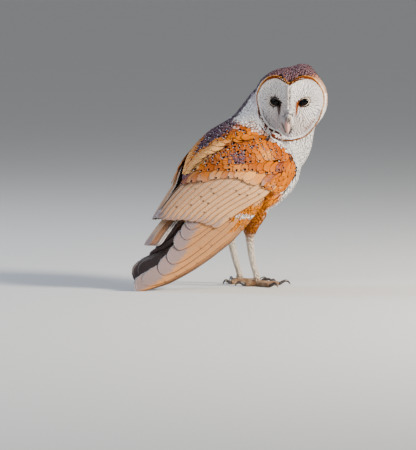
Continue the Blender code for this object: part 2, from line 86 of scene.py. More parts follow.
# ---------------------------------------------------------------- crown, nape and sides of the head
# Small dense feathers run from the face's rim back over the skull: golden buff veiled with lilac grey on the
# crown and nape, pale lilac grey at the bird's right side and white under the chin; at its left side painted
# light makes them paler cream and less grey. Each is a soft vane some seven millimetres long.
# Feathers stand in rows along a chart of the body, point back from the bill, and overlap like tiles.
def step(x, low=0.0, high=1.0):
    """0 below low, 1 above high; between them, with x the share of the way, 3 x squared less 2 x cubed."""
    x = np.clip((np.asarray(x, float) - low) / (high - low), 0, 1)
    return x * x * (3 - 2 * x)


def add_attribute(mesh, name, values):
    """Store one colour (four numbers) or vector (three numbers) on each vertex of a mesh."""
    kind, field = ("FLOAT_COLOR", "color") if values.shape[1] == 4 else ("FLOAT_VECTOR", "vector")
    mesh.attributes.new(name, kind, "POINT").data.foreach_set(field, np.asarray(values, np.float32).ravel())


class Shader:
    """A node material under construction: each call adds one node, and its sockets take values or links."""

    def __init__(self, name, roughness, specular=0.3, sheen=0.0, coat=0.0):
        """A new material whose surface has the given finish."""
        self.material = bpy.data.materials.new(name)
        self.material.use_nodes = True
        self.tree = self.material.node_tree
        self.surface = self.tree.nodes["Principled BSDF"]
        self.surface.inputs["Roughness"].default_value = roughness
        self.surface.inputs["Specular IOR Level"].default_value = specular
        self.surface.inputs["Sheen Weight"].default_value = sheen
        self.surface.inputs["Coat Weight"].default_value = coat

    def add(self, kind, settings=None, **sockets):
        """Add a node; sockets are given by name with _ for spaces, or as i0, i1 for numbered ones."""
        node = self.tree.nodes.new(kind)
        for key, value in (settings or {}).items():
            setattr(node, key, value)
        for key, value in sockets.items():
            numbered = key[0] == "i" and key[1:].isdigit()
            socket = node.inputs[int(key[1:])] if numbered else node.inputs[key.replace("_", " ")]
            if isinstance(value, bpy.types.NodeSocket):
                self.tree.links.new(value, socket)
            else:
                socket.default_value = value
        return node

    def math(self, operation, *values):
        """One Math node and its output."""
        sockets = {f"i{k}": value for k, value in enumerate(values)}
        return self.add("ShaderNodeMath", {"operation": operation}, **sockets).outputs[0]

    def ramp(self, value, low, high, start=0.0, end=1.0):
        """Smooth step of a value from start below low to end above high."""
        made = self.add("ShaderNodeMapRange", {"interpolation_type": "SMOOTHSTEP"}, Value=value, From_Min=low,
                        From_Max=high, To_Min=start, To_Max=end)
        return made.outputs[0]

    def mix(self, factor, first, second, blend="MIX"):
        """Colour mixed from first to second."""
        node = self.tree.nodes.new("ShaderNodeMix")
        node.data_type = "RGBA"
        node.blend_type = blend
        for socket, value in ((node.inputs[0], factor), (node.inputs[6], first), (node.inputs[7], second)):
            if isinstance(value, bpy.types.NodeSocket):
                self.tree.links.new(value, socket)
            elif socket.type == "RGBA":
                socket.default_value = (*value[:3], 1)
            else:
                socket.default_value = value
        return node.outputs[2]

    def plus(self, first, second):
        """Their sum."""
        return self.math("ADD", first, second)

    def times(self, first, second):
        """Their product."""
        return self.math("MULTIPLY", first, second)

    def colour(self, name):
        """The named colour attribute."""
        return self.add("ShaderNodeAttribute", {"attribute_name": name}).outputs["Color"]

    def parts(self, name):
        """The three numbers of the named vector attribute."""
        vector = self.add("ShaderNodeAttribute", {"attribute_name": name}).outputs["Vector"]
        return self.add("ShaderNodeSeparateXYZ", None, i0=vector).outputs

    def noise(self, scale, detail=2.0, rough=0.5):
        """Noise in object space, in cells per metre, as a value from 0 to 1."""
        return self.add("ShaderNodeTexNoise", None, Vector=self.add("ShaderNodeTexCoord").outputs["Object"],
                        Scale=scale, Detail=detail, Roughness=rough).outputs["Fac"]

    def finish(self, colour, height=None, bump=0.0002):
        """Join the colour and the bump height to the surface."""
        if isinstance(colour, bpy.types.NodeSocket):
            self.tree.links.new(colour, self.surface.inputs["Base Color"])
        else:
            self.surface.inputs["Base Color"].default_value = (*colour, 1)
        if height is not None:
            node = self.add("ShaderNodeBump", None, Height=height, Distance=bump, Strength=1.0)
            self.tree.links.new(node.outputs[0], self.surface.inputs["Normal"])
        return self.material


def add_piece(name, mesh, material, replaced=()):
    """Link a finished mesh as a piece of the bird, with its material and its part in the frame."""
    piece = bpy.data.objects.new(name, mesh)
    scene.collection.objects.link(piece)
    mesh.materials.clear()
    mesh.materials.append(material)
    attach(piece, "root")
    if replaced:
        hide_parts(*replaced)
    return piece


AXIS_PITCH = math.radians(51)
body_up = np.array([math.cos(AXIS_PITCH), 0, math.sin(AXIS_PITCH)])
HEAD_CENTRE = np.array([84.15, -27.46, 229.0])
HEAD_TURN = math.radians(-126)
HEAD_PITCH = math.radians(5)
DISC_RADIUS = np.array([(0, 28), (23, 40.5), (48, 46.4), (68, 45.9), (91, 42.5), (107, 39.3), (124, 38.6),
                        (144, 39.6), (164, 40.7), (180, 42.4)])
RIM_FORWARD = np.array([(0, 33), (23, 27), (45, 22), (80, 17), (120, 17), (150, 19), (180, 21)])
HEAD_RADIUS = np.array([(0, 44.5), (45, 47.5), (90, 45), (135, 41), (180, 39)])
CROWN_PEAK = (7.5, 21.0, 16.0)
HEAD_BACK = 40.0


def smooth(x, table, column=1):
    """Cubic through a table's stations, with slopes from its neighbours, held flat past its ends."""
    xs, ys = table[:, 0].astype(float), table[:, column].astype(float)
    slopes = np.gradient(ys, xs)
    x = np.clip(np.asarray(x, float), xs[0], xs[-1])
    i = np.clip(np.searchsorted(xs, x) - 1, 0, len(xs) - 2)
    h = xs[i + 1] - xs[i]
    s = (x - xs[i]) / h
    return (ys[i] * (1 + 2 * s) * (1 - s) ** 2 + ys[i + 1] * s * s * (3 - 2 * s)
            + slopes[i] * h * s * (1 - s) ** 2 + slopes[i + 1] * h * s * s * (s - 1))


def unit(vectors):
    """Vectors scaled to length one."""
    return vectors / np.maximum(np.linalg.norm(vectors, axis=-1, keepdims=True), 1e-9)


def head_point(forward, left, up):
    """Head chart to world: the centre plus forward out of the face, left across it and up it, each along its axis."""
    out = np.array([math.cos(HEAD_TURN) * math.cos(HEAD_PITCH), math.sin(HEAD_TURN) * math.cos(HEAD_PITCH),
                    -math.sin(HEAD_PITCH)])
    aside = np.array([-math.sin(HEAD_TURN), math.cos(HEAD_TURN), 0])
    forward, left, up = np.broadcast_arrays(forward, left, up)
    return (HEAD_CENTRE + forward[..., None] * out + left[..., None] * aside
            + up[..., None] * np.cross(out, aside))


face_out, face_left, face_up = (head_point(*axis) - HEAD_CENTRE for axis in np.eye(3))


def around(angle, table):
    """A half-turn table's value at the angle's distance from the top of the head, the same on both sides."""
    return smooth(np.degrees(np.abs((angle + math.pi) % (2 * math.pi) - math.pi)), table)


def snapped(points, offset):
    """Points moved to the nearest place on the coat's level, or offset above it: a Shrinkwrap over all at once."""
    cloud = bpy.data.meshes.new("cloud")
    cloud.vertices.add(len(points))
    cloud.vertices.foreach_set("co", (points * MM).ravel())
    holder = bpy.data.objects.new("cloud", cloud)
    scene.collection.objects.link(holder)
    wrap = holder.modifiers.new("wrap", "SHRINKWRAP")
    wrap.wrap_method = "NEAREST_SURFACEPOINT"
    wrap.wrap_mode = "ABOVE_SURFACE"
    wrap.offset = offset * MM
    wrap.target = coat_level
    placed = holder.evaluated_get(bpy.context.evaluated_depsgraph_get()).data
    result = np.empty(3 * len(points))
    placed.vertices.foreach_get("co", result)
    bpy.data.objects.remove(holder)
    bpy.data.meshes.remove(cloud)
    return result.reshape(-1, 3) / MM


def settled(points):
    """Points on the coat's level, and the outward direction there."""
    shape = points.shape
    flat = points.reshape(-1, 3)
    level = snapped(flat, 0.0)
    return level.reshape(shape), unit(snapped(flat, 4.0) - level).reshape(shape)


FULLEST = 0.55


def outline(y, root, blunt):
    """Half width of a vane along its length: a quarter sine from the root up to its fullest place, then a
    superellipse of the power blunt down to the tip."""
    rising = root + (1 - root) * np.sin(0.5 * np.pi * np.clip(y / FULLEST, 0, 1))
    falling = np.clip(1 - np.clip((y - FULLEST) / (1.03 - FULLEST), 0, 1) ** blunt, 0, 1) ** (1 / blunt)
    return np.where(y < FULLEST, rising, falling)


def lens_faces(rings, columns):
    """Quads of one closed vane: an upper grid, and a lower grid that shares the upper one's border."""
    upper = np.arange(rings * columns).reshape(rings, columns)
    lower = upper.copy()
    lower[1:-1, 1:-1] = rings * columns + np.arange((rings - 2) * (columns - 2)).reshape(rings - 2, columns - 2)
    quads = [np.stack([g[:-1, :-1], g[:-1, 1:], g[1:, 1:], g[1:, :-1]], -1).reshape(-1, 4) for g in (upper, lower)]
    return np.concatenate([quads[0], quads[1][:, ::-1]])


def closed_vanes(name, middle, normals, thickness, attributes, patch_centres, patch_size, place):
    """Mesh of many vanes: each is its middle surface (rings, columns, 3) plus and minus half its thickness.

    The two sides share the border, so a vane is closed. attributes maps a name to values for each vane, or for
    each place on it; place gives x and the distance from the tip in millimetres, and the share of the length;
    each vane's patch of the OFBake map is a small rectangle at its root's place.
    """
    n, rings, columns = middle.shape[:3]
    half = 0.5 * thickness[..., None] * normals
    upper = (middle + half).reshape(n, -1, 3)
    lower = (middle - half)[:, 1:-1, 1:-1].reshape(n, -1, 3)
    points = np.concatenate([upper, lower], 1)
    points[..., 2] = np.maximum(points[..., 2], 0.05)
    each = points.shape[1]
    faces = (lens_faces(rings, columns)[None] + each * np.arange(n)[:, None, None]).reshape(-1, 4)
    mesh = bpy.data.meshes.new(name)
    mesh.vertices.add(n * each)
    mesh.vertices.foreach_set("co", (points * MM).ravel())
    mesh.loops.add(faces.size)
    mesh.loops.foreach_set("vertex_index", faces.ravel().astype(np.int32))
    mesh.polygons.add(len(faces))
    mesh.polygons.foreach_set("loop_start", np.arange(0, faces.size, 4, dtype=np.int32))
    mesh.update(calc_edges=True)
    mesh.shade_smooth()

    def spread(grid):
        """Values of a vane's grid on its outer side's vertices, then again on those of its inner side."""
        inside = grid[:, 1:-1, 1:-1].reshape(n, (rings - 2) * (columns - 2), -1)
        return np.concatenate([grid.reshape(n, rings * columns, -1), inside], 1).reshape(n * each, -1)

    add_attribute(mesh, "place", spread(place))
    add_attribute(mesh, "inner", np.tile(np.arange(each) >= rings * columns, n)[:, None] * np.ones(3))
    for key, values in attributes.items():
        values = np.asarray(values, float)
        values = spread(values) if values.ndim == 4 else np.repeat(values, each, axis=0)
        if key in ("paint", "tip", "line"):
            values = np.column_stack([values, np.ones(len(values))])
        add_attribute(mesh, key, values)
    x = np.linspace(-0.5, 0.5, columns)[None, None, :] * np.ones((n, rings, 1))
    y = np.linspace(-0.5, 0.5, rings)[None, :, None] * np.ones((n, 1, columns))
    local = spread(np.stack([x, y], -1)) * np.repeat(np.broadcast_to(patch_size, (n,)), each)[:, None]
    corner = (np.repeat(patch_centres, each, axis=0) + local)[faces.ravel()]
    mesh.uv_layers.new(name="OFBake").data.foreach_set("uv", corner.astype(np.float32).ravel())
    return mesh


laid = []  # middle, colour and greyness of every contour feather, which the skin beneath takes up


def contour_vanes(name, roots, flows, length, width, sink, rise, paint, tip, look, charted, grid=(6, 5), patch=0.004,
                  root=0.5, blunt=2.4, thick=0.25, cup=0.35, seed=1, turn=0.08, roll=(0.0, 0.1), free=None):
    """Contour feathers laid on the coat's level from root towards the tip along a flow.

    A vane is a strip of its length and width along the flow, drawn onto the level point by point and lifted by
    the sum of its sink at the root, its rise towards the tip, its cup across and its roll. turn is the random
    swing of its direction; roll is how far, with what spread, one side stands over the other, so that
    neighbours lie like tiles. A feather that the level bends too much is left out. paint and tip are colours
    for each feather, or a function of the places and of which feathers lie sound. free, where given, is the
    outward direction of those that stand clear of the level, and zero for the rest. charted places its patch.
    """
    chance = np.random.default_rng(seed)
    n = len(roots)
    rings, columns = grid
    start, up = settled(roots)
    loose = np.zeros(n, bool) if free is None else np.linalg.norm(free, axis=1) > 0.5
    if loose.any():
        start[loose], up[loose] = roots[loose], free[loose]
    flows = unit(flows - np.sum(flows * up, -1, keepdims=True) * up)
    aside = np.cross(flows, up)
    swing = chance.normal(0, turn, n)[:, None]
    flows = unit(flows + swing * aside)
    aside = np.cross(flows, up)
    length = np.broadcast_to(length, (n,)) * chance.uniform(0.9, 1.1, n)
    width = np.broadcast_to(width, (n,)) * chance.uniform(0.93, 1.07, n)
    y = np.linspace(0, 1, rings) ** 0.85
    x = np.linspace(-1, 1, columns)
    wide = outline(y, root, blunt)
    ragged = chance.normal(0, 0.018, (n, rings, columns)) * (y ** 3)[None, :, None]
    along = y[None, :, None] - 0.16 * (x[None, None, :] ** 2) * y[None, :, None] ** 5 + ragged
    across = x[None, None, :] * wide[None, :, None] * np.ones((n, 1, 1))
    raw = (start[:, None, None] + flows[:, None, None] * (along * length[:, None, None])[..., None]
           + aside[:, None, None] * (across * 0.5 * width[:, None, None])[..., None])
    level, normals = settled(raw)
    level[loose], normals[loose] = raw[loose], up[loose][:, None, None]
    sound = np.max(np.linalg.norm(level - raw, axis=-1), axis=(1, 2)) < 0.45 * length + 1.5
    for axis in (1, 2):
        bent, flat = (np.linalg.norm(np.diff(a, axis=axis), axis=-1) for a in (level, raw))
        sound &= np.max(bent - 1.7 * flat, axis=(1, 2)) < 0.5
    n = int(sound.sum())
    level, normals, along, across, length, width = (a[sound] for a in (level, normals, along, across, length, width))
    sink, rise = (np.broadcast_to(a, sound.shape)[sound] for a in (sink, rise))
    look, charted = look[sound], charted[sound]
    paint, tip = (a(level, sound) if callable(a) else np.asarray(a)[sound] for a in (paint, tip))
    tilt = chance.normal(roll[0], roll[1], n)
    height = (-sink[:, None, None] * np.clip(1 - along, 0, 1) ** 1.3
              + (rise * chance.uniform(0.6, 1.3, n))[:, None, None] * along ** 2
              - cup * across ** 2 + tilt[:, None, None] * across)
    middle = level + normals * height[..., None]
    taper = np.sin(np.pi * np.clip(y, 0.06, 0.97)) ** 0.5
    thickness = thick * taper[None, :, None] * (1 - 0.75 * x[None, None, :] ** 2) * np.ones((n, 1, 1))
    place = np.stack([across * 0.5 * width[:, None, None], (1 - along) * length[:, None, None], along], -1)
    attributes = {"paint": paint, "tip": tip, "look": look}
    shades = [a.mean((1, 2)) if a.ndim == 4 else a for a in (paint, tip)]
    laid.append(np.column_stack([level.mean((1, 2)), 0.5 * shades[0] + 0.5 * shades[1], look[:, 0]]))
    return closed_vanes(name, middle, normals, thickness, attributes, charted, patch, place)


def srgb(red, green, blue):
    """Linear colour of a screen colour from 0 to 255: the standard curve, a power of 2.4 above its straight foot."""
    c = np.array([red, green, blue]) / 255.0
    return np.where(c <= 0.04045, c / 12.92, ((c + 0.055) / 1.055) ** 2.4)


def blend(weight, first, second):
    """Colours mixed for each place: 1 less the weight of the first, plus the weight of the second."""
    weight = np.asarray(weight, float)[..., None]
    return (1 - weight) * first + weight * second


BARB_GAP = 0.75


def plumage_material(name):
    """Feather vane: base to tip colour, grey vermiculation with pepper, barbs, shaft, and a black and white spot.

    place holds x, distance from the tip and share of the length; look holds greyness, spot size and chance.
    """
    s = Shader(name, 0.9, specular=0.03)
    x, from_tip, along = s.parts("place")
    grey, spot, chance = s.parts("look")
    side = s.math("ABSOLUTE", x)
    towards_tip = s.ramp(along, 0.5, 0.95)
    colour = s.mix(towards_tip, s.colour("paint"), s.colour("tip"))
    cloud = s.noise(420.0, 3.0, 0.65)
    greyed = s.ramp(s.plus(s.times(cloud, 0.5), grey), 0.62, 0.86)
    pepper = s.noise(760.0, 2.0, 0.75)
    ash = s.mix(s.ramp(pepper, 0.44, 0.58), srgb(28, 20, 30), srgb(122, 104, 124))
    colour = s.mix(s.times(greyed, 0.9), colour, ash)
    barbs = s.math("SINE", s.times(s.plus(from_tip, s.times(side, 1.2)), 2 * math.pi / BARB_GAP))
    value = s.plus(s.times(barbs, 0.03), s.plus(0.88, s.times(cloud, 0.24)))
    value = s.times(value, s.plus(0.96, s.times(chance, 0.06)))
    bright = s.add("ShaderNodeCombineXYZ", None, X=value, Y=value, Z=value).outputs[0]
    colour = s.mix(1.0, colour, bright, "MULTIPLY")
    shaft = s.times(s.ramp(side, 0.1, 0.3, 0.35, 0.0), s.ramp(along, 0.97, 0.8))
    colour = s.mix(shaft, colour, srgb(120, 84, 50))
    radius = s.math("MAXIMUM", spot, 0.001)

    def disc(centre, wide, tall):
        """1 inside an ellipse whose centre and half axes are given in the spot's radii, from the tip."""
        across = s.math("DIVIDE", x, s.times(radius, wide))
        down = s.math("DIVIDE", s.math("SUBTRACT", from_tip, s.times(radius, centre)), s.times(radius, tall))
        far = s.math("SQRT", s.plus(s.math("POWER", across, 2.0), s.math("POWER", down, 2.0)))
        return s.times(s.ramp(far, 0.8, 1.1, 1.0, 0.0), s.ramp(spot, 0.05, 0.15))

    colour = s.mix(disc(0.75, 0.62, 0.62), colour, srgb(246, 238, 238))
    colour = s.mix(disc(2.3, 1.2, 1.35), colour, srgb(8, 4, 5))
    height = s.plus(s.times(barbs, 0.5), s.ramp(side, 0.1, 0.35, 1.6, 0.0))
    return s.finish(colour, height, 0.00006)


plumage = plumage_material("soft_plumage")

GOLD = srgb(192, 100, 4)
CREAM = srgb(240, 222, 196)
WHITE = srgb(246, 242, 240)
LILAC = srgb(132, 108, 122)

RIM_LINE = np.array([
    (-180, 45.2), (-169, 45.3), (-161, 45.4), (-153, 45.1), (-145, 44.5), (-135, 44), (-127, 43.2), (-118, 42.5),
    (-108, 41.2), (-98, 41.1), (-90, 42), (-81, 43.3), (-74, 44), (-66, 44.1), (-57, 44.3), (-48, 44.7), (-41, 44.8),
    (-34, 44.7), (-28, 43.7), (-21, 42.2), (-15, 40.2), (-9, 37.4), (-3.4, 34.3), (0.5, 33), (8, 36.1), (17, 39.8),
    (26, 43), (36, 44.9), (44, 45.2), (52, 45), (61.5, 44.6), (70, 44.3), (80, 43.3), (89.5, 42.3), (98, 40.8),
    (110, 40.1), (121, 40.4), (135, 41.2), (147, 42.8), (158, 44.2), (167, 44.6), (180, 45.2)])


def rim_radius(angle):
    """Radius of the ruff's outer line at an angle from the top, positive to the bird's left, from the table."""
    return smooth((np.degrees(angle) + 180) % 360 - 180, RIM_LINE)


def head_chart(q, angle):
    """Plumage of the head behind the face: q runs from the rim (0) over the widest place (0.25) to the nape (1)."""
    edge, rim = around(angle, DISC_RADIUS), around(angle, RIM_FORWARD)
    turned = np.degrees((angle + math.pi) % (2 * math.pi) - math.pi)
    widest = around(angle, HEAD_RADIUS) + CROWN_PEAK[0] * np.exp(-((turned - CROWN_PEAK[1]) / CROWN_PEAK[2]) ** 2)
    lap = np.clip((q - 0.25) / 0.75, 0, 1) * 0.46 * math.pi
    front = np.clip(1 - q / 0.25, 0, 1)
    radius = np.where(q < 0.25, widest + (edge - widest) * front ** 1.6, widest * np.cos(lap) ** 0.9)
    forward = np.where(q < 0.25, 2 + (rim - 3) * front, 2 - HEAD_BACK * np.sin(lap))
    return head_point(forward, radius * np.sin(angle), radius * np.cos(angle))


def head_offsets(points):
    """Forward, left and up of world points in the head chart: their offsets along its three axes."""
    return [(points - HEAD_CENTRE) @ axis for axis in (face_out, face_left, face_up)]


def clear_of_face(points, margin=0.0):
    """Which points are off the face: further out than the ruff's line by a margin, or behind the disc's rim."""
    forward, left, up = head_offsets(points)
    angle = np.arctan2(left, up)
    return (np.hypot(left, up) > rim_radius(angle) + margin) | (forward < around(angle, RIM_FORWARD) - 6)


def lattice(rows, counts, chance, jitter=0.25):
    """Places (row share, column share) in rows of given counts, every second row shifted by half a step."""
    places = []
    for k, count in enumerate(counts):
        share = (np.arange(count) + 0.5 * (k % 2)) / count
        places.append(np.column_stack([np.full(count, rows[k]), share]))
    places = np.concatenate(places)
    steps = np.concatenate([np.full(count, 1.0 / count) for count in counts])
    gap = np.abs(np.diff(rows)).mean()
    return places + np.column_stack([chance.normal(0, jitter, len(places)) * gap * 0.5,
                                     chance.normal(0, jitter, len(places)) * steps * 0.5])


def bake_place(across, along):
    """Places on the OFBake map of feathers whose chart runs from 0 to 1 across and along its tract."""
    return np.column_stack([0.05 + 0.9 * across, 0.05 + 0.9 * along])


def near_level(points, reach):
    """Which points lie within reach of the coat's level: the rest are buried in another tract."""
    return np.linalg.norm(snapped(points, 0.0) - points, axis=1) < reach


def chart_flow(chart, a, b, small=0.01):
    """Direction in which a chart's first number grows, from a small step to either side."""
    return unit(chart(a + small, b) - chart(a - small, b))


HEAD_ROWS, HEAD_COUNT = 43, 156
BACK_ROW = 0.98
WIDEST_RING = 46
chance = np.random.default_rng(11)
head_rows = np.linspace(0.0, BACK_ROW, HEAD_ROWS)
head_counts = [int(HEAD_COUNT * max(math.cos(max(q - 0.25, 0) / 0.75 * 0.46 * math.pi), 0.25)) for q in head_rows]
head_places = lattice(head_rows, head_counts, chance)
q, angle = head_places[:, 0], head_places[:, 1] * 2 * math.pi - math.pi
roots = head_chart(q, angle)
flows = chart_flow(head_chart, q, angle)
flows = unit(flows * (1 - step(q, 0.4, 0.95))[:, None] - body_up * step(q, 0.4, 0.95)[:, None])
rim_share = np.clip(1 - q / 0.25, 0, 1) ** 1.6
notch_reach = 2.2 * (np.abs(np.degrees(angle)) < 9)
ring_radius = around(angle, DISC_RADIUS) * rim_share + WIDEST_RING * (1 - rim_share)
kept = near_level(roots, 9.0) & (ring_radius > rim_radius(angle) - 0.8 - notch_reach)
q, angle, roots, flows = q[kept], angle[kept], roots[kept], flows[kept]
turned = np.degrees(angle)
degrees_from_top = np.abs(turned)
low = step(degrees_from_top, 82, 104)
veil = (1 - step(degrees_from_top, 62, 92)) * (0.72 + 0.3 * step(q, 0.03, 0.16))
# Painted light: near the rim the bird's lit left side loses most of its grey veil.
veil *= 1 - 0.7 * step(turned, 26, 50) * (1 - step(q, 0.06, 0.26))
veil = np.maximum(veil, 0.9 * step(q, 0.5, 0.72) * (1 - step(degrees_from_top, 92, 128)))
# Painted light: the bird's lit left side is paler cream; its right side is pale lilac grey.
head_paint = blend(step(turned, 30, 60), GOLD, blend(0.5, GOLD, CREAM))
head_paint = blend(step(-turned, 30, 62), head_paint, srgb(206, 190, 196))
head_paint = blend(low, head_paint, WHITE)
head_tip = blend(0.35 * (1 - low), head_paint, LILAC)
head_look = np.column_stack([veil + chance.normal(0, 0.10, len(q)),
                             0.6 * (chance.random(len(q)) < 0.3) * (veil > 0.3), chance.random(len(q))])
crown_mesh = contour_vanes("head_coat", roots, flows, length=6.6, width=2.8, sink=1.1, rise=0.12, paint=head_paint,
                           tip=head_tip, look=head_look, charted=bake_place(head_places[kept, 1], q), grid=(6, 3),
                           patch=0.003, thick=0.2, cup=0.08, seed=12, roll=(0.0, 0.05))
add_piece("head_coat", crown_mesh, plumage)

# ---------------------------------------------------------------- neck
# A thick soft sleeve of white feathers from under the face to the shoulders, greyer and golden at the nape,
# its rows lying down the neck. The turned head hides their roots.
AXIS_POINT = np.array([42.65, 6.04, 164.0])
# Station t, then the reach to the back and to the breast, the half width and the lean to the left.
NECK = np.array([(29, 45, 67, 41, 0), (45, 45, 68, 34.5, -1), (60, 46, 63, 30, -3), (75, 45, 51, 28, -8),
                 (90, 34, 40, 24, -16)])
body_fore = np.array([math.sin(AXIS_PITCH), 0, -math.cos(AXIS_PITCH)])


def body_point(t, d, y):
    """Body chart to world: the axis's point, plus t up the tilted axis, d towards the breast and y to the left."""
    t, d, y = np.broadcast_arrays(t, d, y)
    return AXIS_POINT + t[..., None] * body_up + d[..., None] * body_fore + y[..., None] * np.array([0.0, 1.0, 0.0])


def section(phi, squareness):
    """Unit superellipse at an angle from the back: its reach towards the back and to the side."""
    c, s = np.cos(np.radians(phi)), np.sin(np.radians(phi))
    scale = (np.abs(c) ** squareness + np.abs(s) ** squareness) ** (-1 / squareness)
    return c * scale, s * scale


def neck_chart(t, phi):
    """Neck: at t up the body's axis, an ellipse at phi from the nape, positive to the bird's right."""
    dorsal, ventral, half_width, lean = (smooth(t, NECK, k) for k in range(1, 5))
    back, out = section(phi, 2.0)
    return body_point(t, -np.where(back > 0, dorsal, ventral) * back, lean - half_width * out)


def tailward(chart, t, phi):
    """Direction in which a body chart's t falls."""
    return -chart_flow(chart, t, phi, 0.5)


NECK_COUNT = 104
chance = np.random.default_rng(21)
neck_rows = np.arange(93, 20, -2.5)
neck_places = lattice(neck_rows, [NECK_COUNT] * len(neck_rows), chance, 0.5)
t, phi = neck_places[:, 0], neck_places[:, 1] * 360 - 180
roots = neck_chart(t, phi)
kept = near_level(roots, 8.0) & clear_of_face(roots)
t, phi, roots, places = t[kept], phi[kept], roots[kept], neck_places[kept]
nape = (1 - step(phi, 1, 8)) * (1 - step(-phi, 30, 44))
shoulder = 0.9 * step(42 - t, 0, 14) * step(phi, 24, 36) * (1 - step(phi, 78, 92))
hem = np.maximum(step(30 - t, 0, 12) * (1 - step(np.abs(phi), 20, 44)), shoulder)
back_hem = hem * (phi <= 20)
paint = blend(np.maximum(0.15 * nape, 0.8 * hem * (phi > 20) + 0.55 * back_hem), WHITE, GOLD)
tip = blend(0.6 * np.maximum(nape, 0.7 * back_hem), paint, LILAC)
look = np.column_stack([
    0.80 * np.maximum(nape, 0.85 * back_hem) + chance.normal(0, 0.05, len(t)),
    0.5 * (chance.random(len(t)) < 0.04) + 0.6 * (np.maximum(nape, hem) > 0.5) * (chance.random(len(t)) < 0.3),
    chance.random(len(t))])
neck_mesh = contour_vanes("neck_coat", roots, tailward(neck_chart, t, phi), length=11.0, width=3.4, sink=1.3,
                          rise=0.15, paint=paint, tip=tip, look=look,
                          charted=bake_place(places[:, 1], (92 - t) / 70), grid=(6, 3), patch=0.003, thick=0.2,
                          cup=0.06, seed=22, turn=0.1, roll=(0.0, 0.05))
add_piece("neck_coat", neck_mesh, plumage)

# ---------------------------------------------------------------- mantle
# The feathers of the upper back are broad and golden buff under a lilac grey veil, each with a black and white
# spot near its tip. They lie in rows from the collar down to the rump, between the wings.
# Station t, then the envelope's centre, half depth, half width and squareness; the tables below give t and d, or
# t and phi along an edge.
ENVELOPE = np.array([
    (-245, -29, 21, 12, 2.6), (-205, -18, 37, 22, 2.6), (-170, -12, 50, 29, 2.5), (-130, -8, 57, 39, 2.3),
    (-90, -4, 61, 51, 2.25), (-45, 1, 64, 62, 2.35), (-20, 3, 62, 62, 2.4), (0, 5, 60, 60, 2.3),
    (18, 8, 56, 52, 2.1), (32, 8, 53, 39, 2.0), (60, 8, 47, 33, 2.0)])
GOLD_DEEP = srgb(158, 72, 0)
PALE_BUFF = srgb(228, 180, 118)
BREAST = np.array([(-126, 6), (-100, 24), (-80, 38), (-60, 50), (-40, 60), (-20, 66), (5, 70), (23, 68), (41, 65)])
RUMP = np.array([(-126, -24), (-110, -38), (-90, -52), (-60, -62), (-45, -63), (-30, -60)])
WING_TOP = np.array([(23, 80), (9, 59), (-9, 44), (-24, 35), (-43, 28), (-56, 23), (-73, 17), (-97, 11)])
WING_FRONT = np.array([(23, 96), (17, 112), (9, 129), (-4, 134), (-23, 128), (-34, 120)])
SECONDARY_TOP = np.array([(-80, 17), (-90, 13), (-118, 7), (-142, 3)])
PRIMARY_LOW = np.array([(-45, 119), (-57, 121), (-77, 129), (-101, 136), (-134, 133), (-167, 124), (-192, 119),
                        (-213, 110), (-225, 103)])


def trunk_chart(t, phi):
    """Trunk: at t up the body's axis, a superellipse at phi from mid-back, positive to the bird's right.

    Its reach is the rump line's towards the back and the breast line's in front, and it tapers to the tail.
    """
    centre, half_depth, half_width, squareness = (smooth(t, ENVELOPE, k) for k in range(1, 5))
    dorsal = np.where(t < RUMP[-1, 0], centre - smooth(t, RUMP), half_depth)
    ventral = smooth(t, BREAST) - centre
    back, out = section(phi, squareness)
    taper = step(t, -151, -91)
    return body_point(t, centre - np.where(back > 0, dorsal, ventral) * back, -half_width * taper * out)


def wing_edges(t):
    """Angles of the folded wing's upper and lower edges at a station t, smoothly along the four tables."""
    return (smooth(t, np.vstack([SECONDARY_TOP[:1:-1], WING_TOP[::-1]])),
            smooth(t, np.vstack([PRIMARY_LOW[::-1], WING_FRONT[-2::-1]])))


COLLAR = np.array([(-180, 24), (-117, 27), (-104, 28), (-86, 21), (-64, 19), (-35, 17), (-16, 24), (0, 30), (16, 24),
                   (35, 17), (64, 19), (86, 21), (104, 28), (117, 27), (180, 24)])
MANTLE_COUNT, MANTLE_ARC = 30, 190
chance = np.random.default_rng(31)
mantle_rows = np.arange(36, -124, -5.4)
mantle_places = lattice(mantle_rows, [MANTLE_COUNT] * len(mantle_rows), chance, 0.3)
t, phi = mantle_places[:, 0], mantle_places[:, 1] * MANTLE_ARC - MANTLE_ARC / 2
top = wing_edges(t)[0]
kept = (np.abs(phi) < top + 7 - 5 * step(t, -40, -80)) & near_level(trunk_chart(t, phi), 8.0)
kept &= (t < smooth(phi, COLLAR) + 3) & clear_of_face(trunk_chart(t, phi), 0.5)
t, phi, places, top = t[kept], phi[kept], mantle_places[kept], top[kept]
grey_band = np.maximum(1 - step(np.abs(phi + 10), 16, 42), step(-t, 36, 60) * (1 - step(np.abs(phi), 24, 34)))
veil = 0.80 * grey_band + 0.16 * step(np.sin(0.31 * t) * np.sin(0.2 * phi + 1), 0.2, 0.7)
edge = step(np.abs(phi), top - 12, top - 3) * step(-30 - t, 0, 24)
paint = blend(0.9 * edge, blend(0.5 + 0.5 * np.sin(0.23 * t + 0.1 * phi), GOLD, GOLD_DEEP), PALE_BUFF)
tip = blend(0.2 * (1 - edge), paint, LILAC)
look = np.column_stack([veil * (1 - edge) + chance.normal(0, 0.05, len(t)),
                        (1.45 + 0.12 * chance.normal(size=len(t))) * (edge < 0.4) * (chance.random(len(t)) < 0.92),
                        chance.random(len(t))])
mantle_mesh = contour_vanes("mantle_coat", trunk_chart(t, phi), tailward(trunk_chart, t, phi), length=18.0,
                            width=11.0, sink=1.6, rise=0.1, paint=paint, tip=tip, look=look,
                            charted=bake_place(places[:, 1], (40 - t) / 170), grid=(9, 7), patch=0.004, thick=0.24,
                            cup=0.1, seed=32, roll=(0.0, 0.06))
add_piece("mantle_coat", mantle_mesh, plumage)

